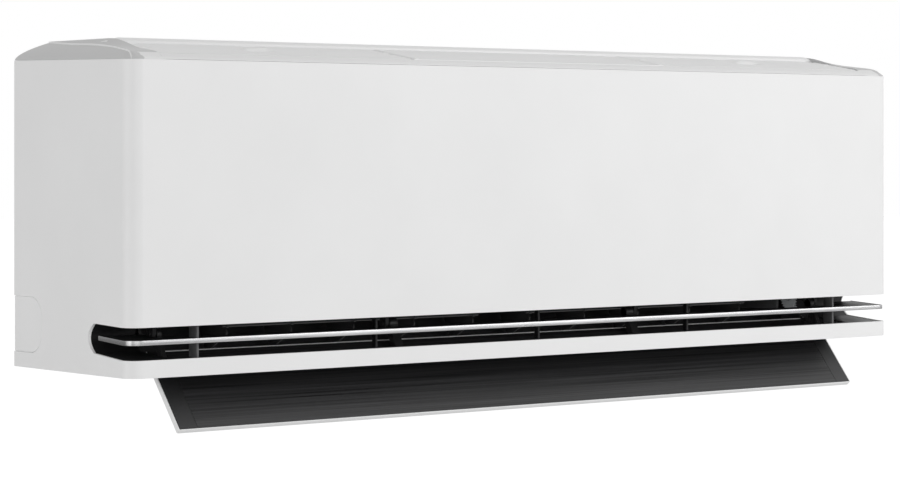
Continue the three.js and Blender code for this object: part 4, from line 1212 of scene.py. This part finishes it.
for side, sign in SIDES:
    for number, x in enumerate(LOUVRE_XS * sign, 1):
        name = f"louvre_{side}_{number}"
        fin = [bar(louvre_outline(), x - 0.8, x + 0.8), wall_pin(x, 2.0, -4, 6), wall_pin(x, 3.2, 2.6, 5)]
        rounded(piece(f"{name}_fin", fin, [name], "dark_plastic", body=name), 0.3, 2, 50)
    link = rounded_rectangle(46, 49, 28, 31, 0.8, 4)
    ends = mirrored(sign, LOUVRE_XS[0] - 6, LOUVRE_XS[-1] + 6)
    rivet = beside_wall(*circle(47.5, 29.5, 2.3, 16).T)
    rivets = [bar(rivet, x * sign - 1.6, x * sign + 1.6) for x in LOUVRE_XS]
    piece(f"louvre_bar_{side}", [bar(beside_wall(*link.T), *ends), *rivets], [f"louvre_link_{side}"],
          "dark_plastic", body=f"louvre_link_{side}")
    x = sign * LOUVRE_XS[-1]
    motor = [wall_pin(x, 13, -24, -6.2, 40), wall_pin(x, 11.5, -24.4, -24, 40), wall_pin(x, 4, -6.5, -4.6)]
    rounded(piece(f"louvre_stepper_{side}", motor, [f"louvre_motor_{side}"], "zinc_steel"), 0.5, 2, 50)
print("louvres", 2 * len(LOUVRE_XS))

# %% [markdown]
# The fan is a long cage of forward-curved blades between discs. One blade's section is worked out
# in polar form, turned to its place for every blade at once, and carried along the fan.

# %% Cross-flow fan
FAN_CENTRE = np.array([118.0, 146.0])
FAN_RADIUS = 46.9
FAN_LEFT, FAN_RIGHT = -425.0, 365.0
BLADES = 35


def fan_blades():
    """Blade section: radius falls from the rim inwards while its angle leans forward, and its
    thickness swells in the middle."""
    t = np.linspace(0, 1, 6)
    radius = FAN_RADIUS - 0.5 - 11.5 * t
    lean = 0.16 * np.sin(np.pi * t * 0.75)
    thick = (0.35 + 0.5 * np.sin(np.pi * t)) / radius
    section_r = np.concatenate([radius, radius[::-1]])
    section_a = np.concatenate([lean + thick, (lean - thick)[::-1]])
    turn = 2 * np.pi * np.arange(BLADES)[:, None] / BLADES + section_a[None, :]
    depth = FAN_CENTRE[0] + section_r * np.cos(turn)
    height = FAN_CENTRE[1] + section_r * np.sin(turn)
    return [bar(np.stack([d, h], axis=1), FAN_LEFT + 1, FAN_RIGHT - 1) for d, h in zip(depth, height)]


discs = [bar(circle(*FAN_CENTRE, FAN_RADIUS, 64), x, x + 3.6)
         for x in np.linspace(FAN_LEFT, FAN_RIGHT - 3.6, 9)]
shaft = [bar(circle(*FAN_CENTRE, 4, 24), x0, x1)
         for x0, x1 in ((FAN_RIGHT - 1, 375.6), (FAN_LEFT - 11, FAN_LEFT))]
piece("fan_cage", fan_blades() + discs + shaft, ["cross_flow_fan"], "dark_plastic", body="fan", sharp=50)
print("fan", BLADES, "blades,", len(discs), "discs")

# %% [markdown]
# A heat exchanger is hundreds of thin fins on copper tubes. Each fin is one closed outline of a few
# faces, copied along the unit; the tubes are joined by U-bends at the left end.

# %% Heat exchanger
COIL_FRONT = [(34, 108), (40, 190), (90, 262)]
COIL_REAR = [(112, 262), (166, 198)]
COIL_LEFT, COIL_RIGHT, COIL_THICK = -440.0, 352.0, 22.0
FIN_PITCH = 2.4


def coil_outline(line, thick):
    """A band of a thickness about a line: each point moves along the mean normal of its runs."""
    line = np.asarray(line, float)
    runs = np.diff(line, axis=0)
    runs /= np.linalg.norm(runs, axis=1, keepdims=True)
    before, after = np.concatenate([runs[:1], runs]), np.concatenate([runs, runs[-1:]])
    mean = before + after
    mean /= np.linalg.norm(mean, axis=1, keepdims=True)
    stretch = 1 / np.sum(mean * after, axis=1, keepdims=True)
    normal = np.stack([-mean[:, 1], mean[:, 0]], axis=1) * stretch * thick / 2
    return np.concatenate([line + normal, (line - normal)[::-1]])


def tube_places(line, pitch=21.0):
    """Tube centres spaced along the straight runs of a line."""
    spots = []
    for start, end in zip(np.asarray(line[:-1], float), np.asarray(line[1:], float)):
        length = np.hypot(*(end - start))
        number = int((length - pitch * 0.6) // pitch)
        first = (length - pitch * (number - 1)) / 2
        share = ((first + pitch * np.arange(number)) / length)[:, None]
        spots += list(start + (end - start) * share)
    return spots


for name, line in (("front", COIL_FRONT), ("rear", COIL_REAR)):
    outline = coil_outline(line, COIL_THICK)
    fins = [bar(outline, x, x + 0.3) for x in np.arange(COIL_LEFT, COIL_RIGHT - 0.3, FIN_PITCH)]
    tubes = [bar(circle(*spot, 3.5, 12), COIL_LEFT, COIL_RIGHT) for spot in tube_places(line)]
    piece(f"fin_pack_{name}", fins, [f"evaporator_{name}"], "aluminium_fins", sharp=30)
    piece(f"coil_tubes_{name}", tubes, [f"evaporator_{name}"], "copper")
spots = tube_places(COIL_FRONT) + tube_places(COIL_REAR)
plate_outline = coil_outline(COIL_FRONT + COIL_REAR, COIL_THICK + 4)
bends = []
for (d0, z0), (d1, z1) in zip(spots[0:-1:2], spots[1::2]):
    turn = np.linspace(0, np.pi, 15)
    share = (1 - np.cos(turn)) / 2
    reach = COIL_LEFT - 2 - 11.5 * np.sin(turn)
    bends.append(sleeve(np.stack([reach, d0 + (d1 - d0) * share, z0 + (z1 - z0) * share], axis=1), 3.5, 14))
end_plate = bar(plate_outline, COIL_LEFT - 2.1, COIL_LEFT - 0.6)
piece("end_plate_left", [end_plate], ["tube_sheet_left"], "zinc_steel")
piece("return_bends", bends, ["tube_sheet_left"], "copper")
end_plate = bar(plate_outline, COIL_RIGHT + 0.6, COIL_RIGHT + 2.1)
stubs = [bar(circle(*spot, 3.5, 16), COIL_RIGHT + 1, COIL_RIGHT + 8) for spot in spots]
piece("end_plate_right", [end_plate, *stubs], ["tube_sheet_right"], "zinc_steel")
print("tubes", len(spots), "bends", len(bends))

# %% [markdown]
# The two refrigerant pipes come down behind the fan and run along the bottom to the left, where
# the outdoor unit's pipes are screwed on. A pipe is a ring carried along a smooth route, and its
# flare nut is a hexagon with its corners turned off.

# %% Pipes and flare nuts
GAS_ROUTE = [(361, 182, 222), (374, 184, 218), (382, 185, 190), (382, 186, 120), (381, 186, 60),
             (372, 186, 38), (340, 186, 33), (240, 186, 33), (120, 186, 33)]
LIQUID_ROUTE = [(361, 168, 214), (372, 168, 210), (376, 169, 190), (376, 170, 120), (375, 170, 52),
                (366, 170, 30), (340, 170, 26), (240, 170, 26), (150, 170, 26)]


def flare_nut(x, depth, height, across):
    """A hexagon carried along x; its ends are drawn in to a circle, as a lathe turns them."""
    turn = np.linspace(0, 2 * np.pi, 36, endpoint=False)
    flat = np.cos(np.pi / 6) / np.cos((turn % (np.pi / 3)) - np.pi / 6)
    hexagon = across * flat
    rings = [(x - 4, np.minimum(hexagon, across * 0.80)), (x - 2.6, np.minimum(hexagon, across * 0.95)),
             (x - 2, hexagon), (x + 12, hexagon), (x + 12.6, np.minimum(hexagon, across * 0.95)),
             (x + 14, np.minimum(hexagon, across * 0.80))]
    return closed_rings(np.stack([place(at, depth + r * np.cos(turn), height + r * np.sin(turn))
                                  for at, r in rings]))


for name, radius, route in (("gas", 6.35, GAS_ROUTE), ("liquid", 3.2, LIQUID_ROUTE)):
    tube = sleeve(smooth_line(route, 160), radius, 24)
    piece(f"{name}_line", [tube, flare_nut(*route[-1], radius * 1.9)], [f"{name}_pipe"], "copper")
print("pipes 12.7 and 6.4 mm")

# %% [markdown]
# The unit hangs on a plate of galvanised sheet with two pressed ribs, two hooks, screw holes and
# openings to save weight. It is one outline with holes, carried through the sheet's thickness.

# %% Wall plate
PLATE_HALF, PLATE_LOW, PLATE_HIGH, GAUGE = 440.0, 30.0, 272.0, 1.5
DEPTH = 210.0


def plate_shape():
    """The plate's outline with a round corner notch for the pipes at both lower corners."""
    turn = np.linspace(0, np.pi / 2, 12)
    centre_x, centre_z, radius = PLATE_HALF - 10, PLATE_LOW + 10, 34.0
    reach = math.sqrt(radius ** 2 - 10 ** 2)
    start, end = math.atan2(-10, -reach) + 2 * np.pi, math.atan2(reach, 10)
    notch = np.linspace(start, end, 20)
    right_notch = np.stack([centre_x + radius * np.cos(notch), centre_z + radius * np.sin(notch)], axis=1)
    top = np.stack([PLATE_HALF - 10 + 10 * np.cos(turn), PLATE_HIGH - 10 + 10 * np.sin(turn)], axis=1)
    right = np.concatenate([right_notch, top])
    return np.concatenate([right, right[::-1] * (-1, 1)])


screw_holes = [circle(sign * x, z, 3, 16) for sign in (-1, 1) for x in (60, 330, 415) for z in (100, 200)]
small_holes = [circle(x, z, 2.2, 12) for x in np.arange(-400, 401, 50) for z in (80, 222) if abs(x) > 10]
windows = [rounded_rectangle(*mirrored(sign, 80, 290), 120, 180, 6) for sign in (-1, 1)]
face = DEPTH - GAUGE
sheet = carried("depth", plate_shape(), face, DEPTH, screw_holes + small_holes + windows)
rib_line = np.array([(face - 3, 0.8), (face - 3, 5.2), (face + 0.4, 6.0), (face + 0.4, 0)])
ribs = [bar(rib_line + (0, low), -PLATE_HALF + 30, PLATE_HALF - 30) for low in (60, 232)]
hook = [(face + 0.4, 243), (197.4, 243), (195.8, 244.6), (195.8, 256), (198, 256), (198, 246),
        (face + 0.4, 246)]
hooks = [bar(hook, *mirrored(sign, 286, 314)) for sign in (-1, 1)]
rounded(piece("hanging_plate", [sheet, *ribs, *hooks], ["wall_plate"], "zinc_steel"), 0.3, 2, 50)
print("wall plate", 2 * PLATE_HALF, "mm wide")

# %% [markdown]
# Underneath, a flat white cover frames the outlet. It holds the emergency button and the heads of
# two screws, so it has holes for them.

# %% Bottom cover, screws and button
BUTTON_SPOT = (464.0, 84.0)
SCREW_SPOTS = ((-474.0, 30.0), (474.0, 30.0))
under = plan_path(WALL + 0.3, 200.0)
outlet = rounded_rectangle(-OUTLET_HALF, OUTLET_HALF, 10.0, 104.5, 1.5, 4)
drilled = [circle(*BUTTON_SPOT, 4.5), *(circle(*spot, 2.4, 24) for spot in SCREW_SPOTS)]
rounded(piece("under_cover", [carried("height", under, 0.3, 2.8, [outlet, *drilled])], ["bottom_cover"],
              "white_shell"), 0.4, 2)


def turned(x, depth, rings, steps=32):
    """A shape turned about an upright axis from (radius, height) rings."""
    angle = np.linspace(0, 2 * np.pi, steps, endpoint=False)
    return closed_rings(np.stack([place(x + r * np.cos(angle), depth + r * np.sin(angle), z)
                                  for r, z in rings]))


cap = [(2.2, -0.45), (2.9, -0.5), (3.5, -0.85), (3.9, -0.8), (4.2, -0.45), (4.2, 3.1), (6.2, 3.1),
       (6.2, 4.4), (1, 4.4)]
piece("emergency_button", [turned(*BUTTON_SPOT, cap)], ["power_button"], "inner_plastic",
      body="button", sharp=50)
head = [(1.0, -0.7), (1.5, -0.75), (1.6, -1.5), (3.2, -1.6), (3.8, -1.1), (3.8, -0.1), (2.0, -0.1),
        (2.0, 10.2), (0.6, 11)]
for (x, depth), (side, _) in zip(SCREW_SPOTS, SIDES):
    piece(f"screw_{side}", [turned(x, depth, head, 24)], [f"cover_screw_{side}"], "zinc_steel", sharp=40)
print("underside done")
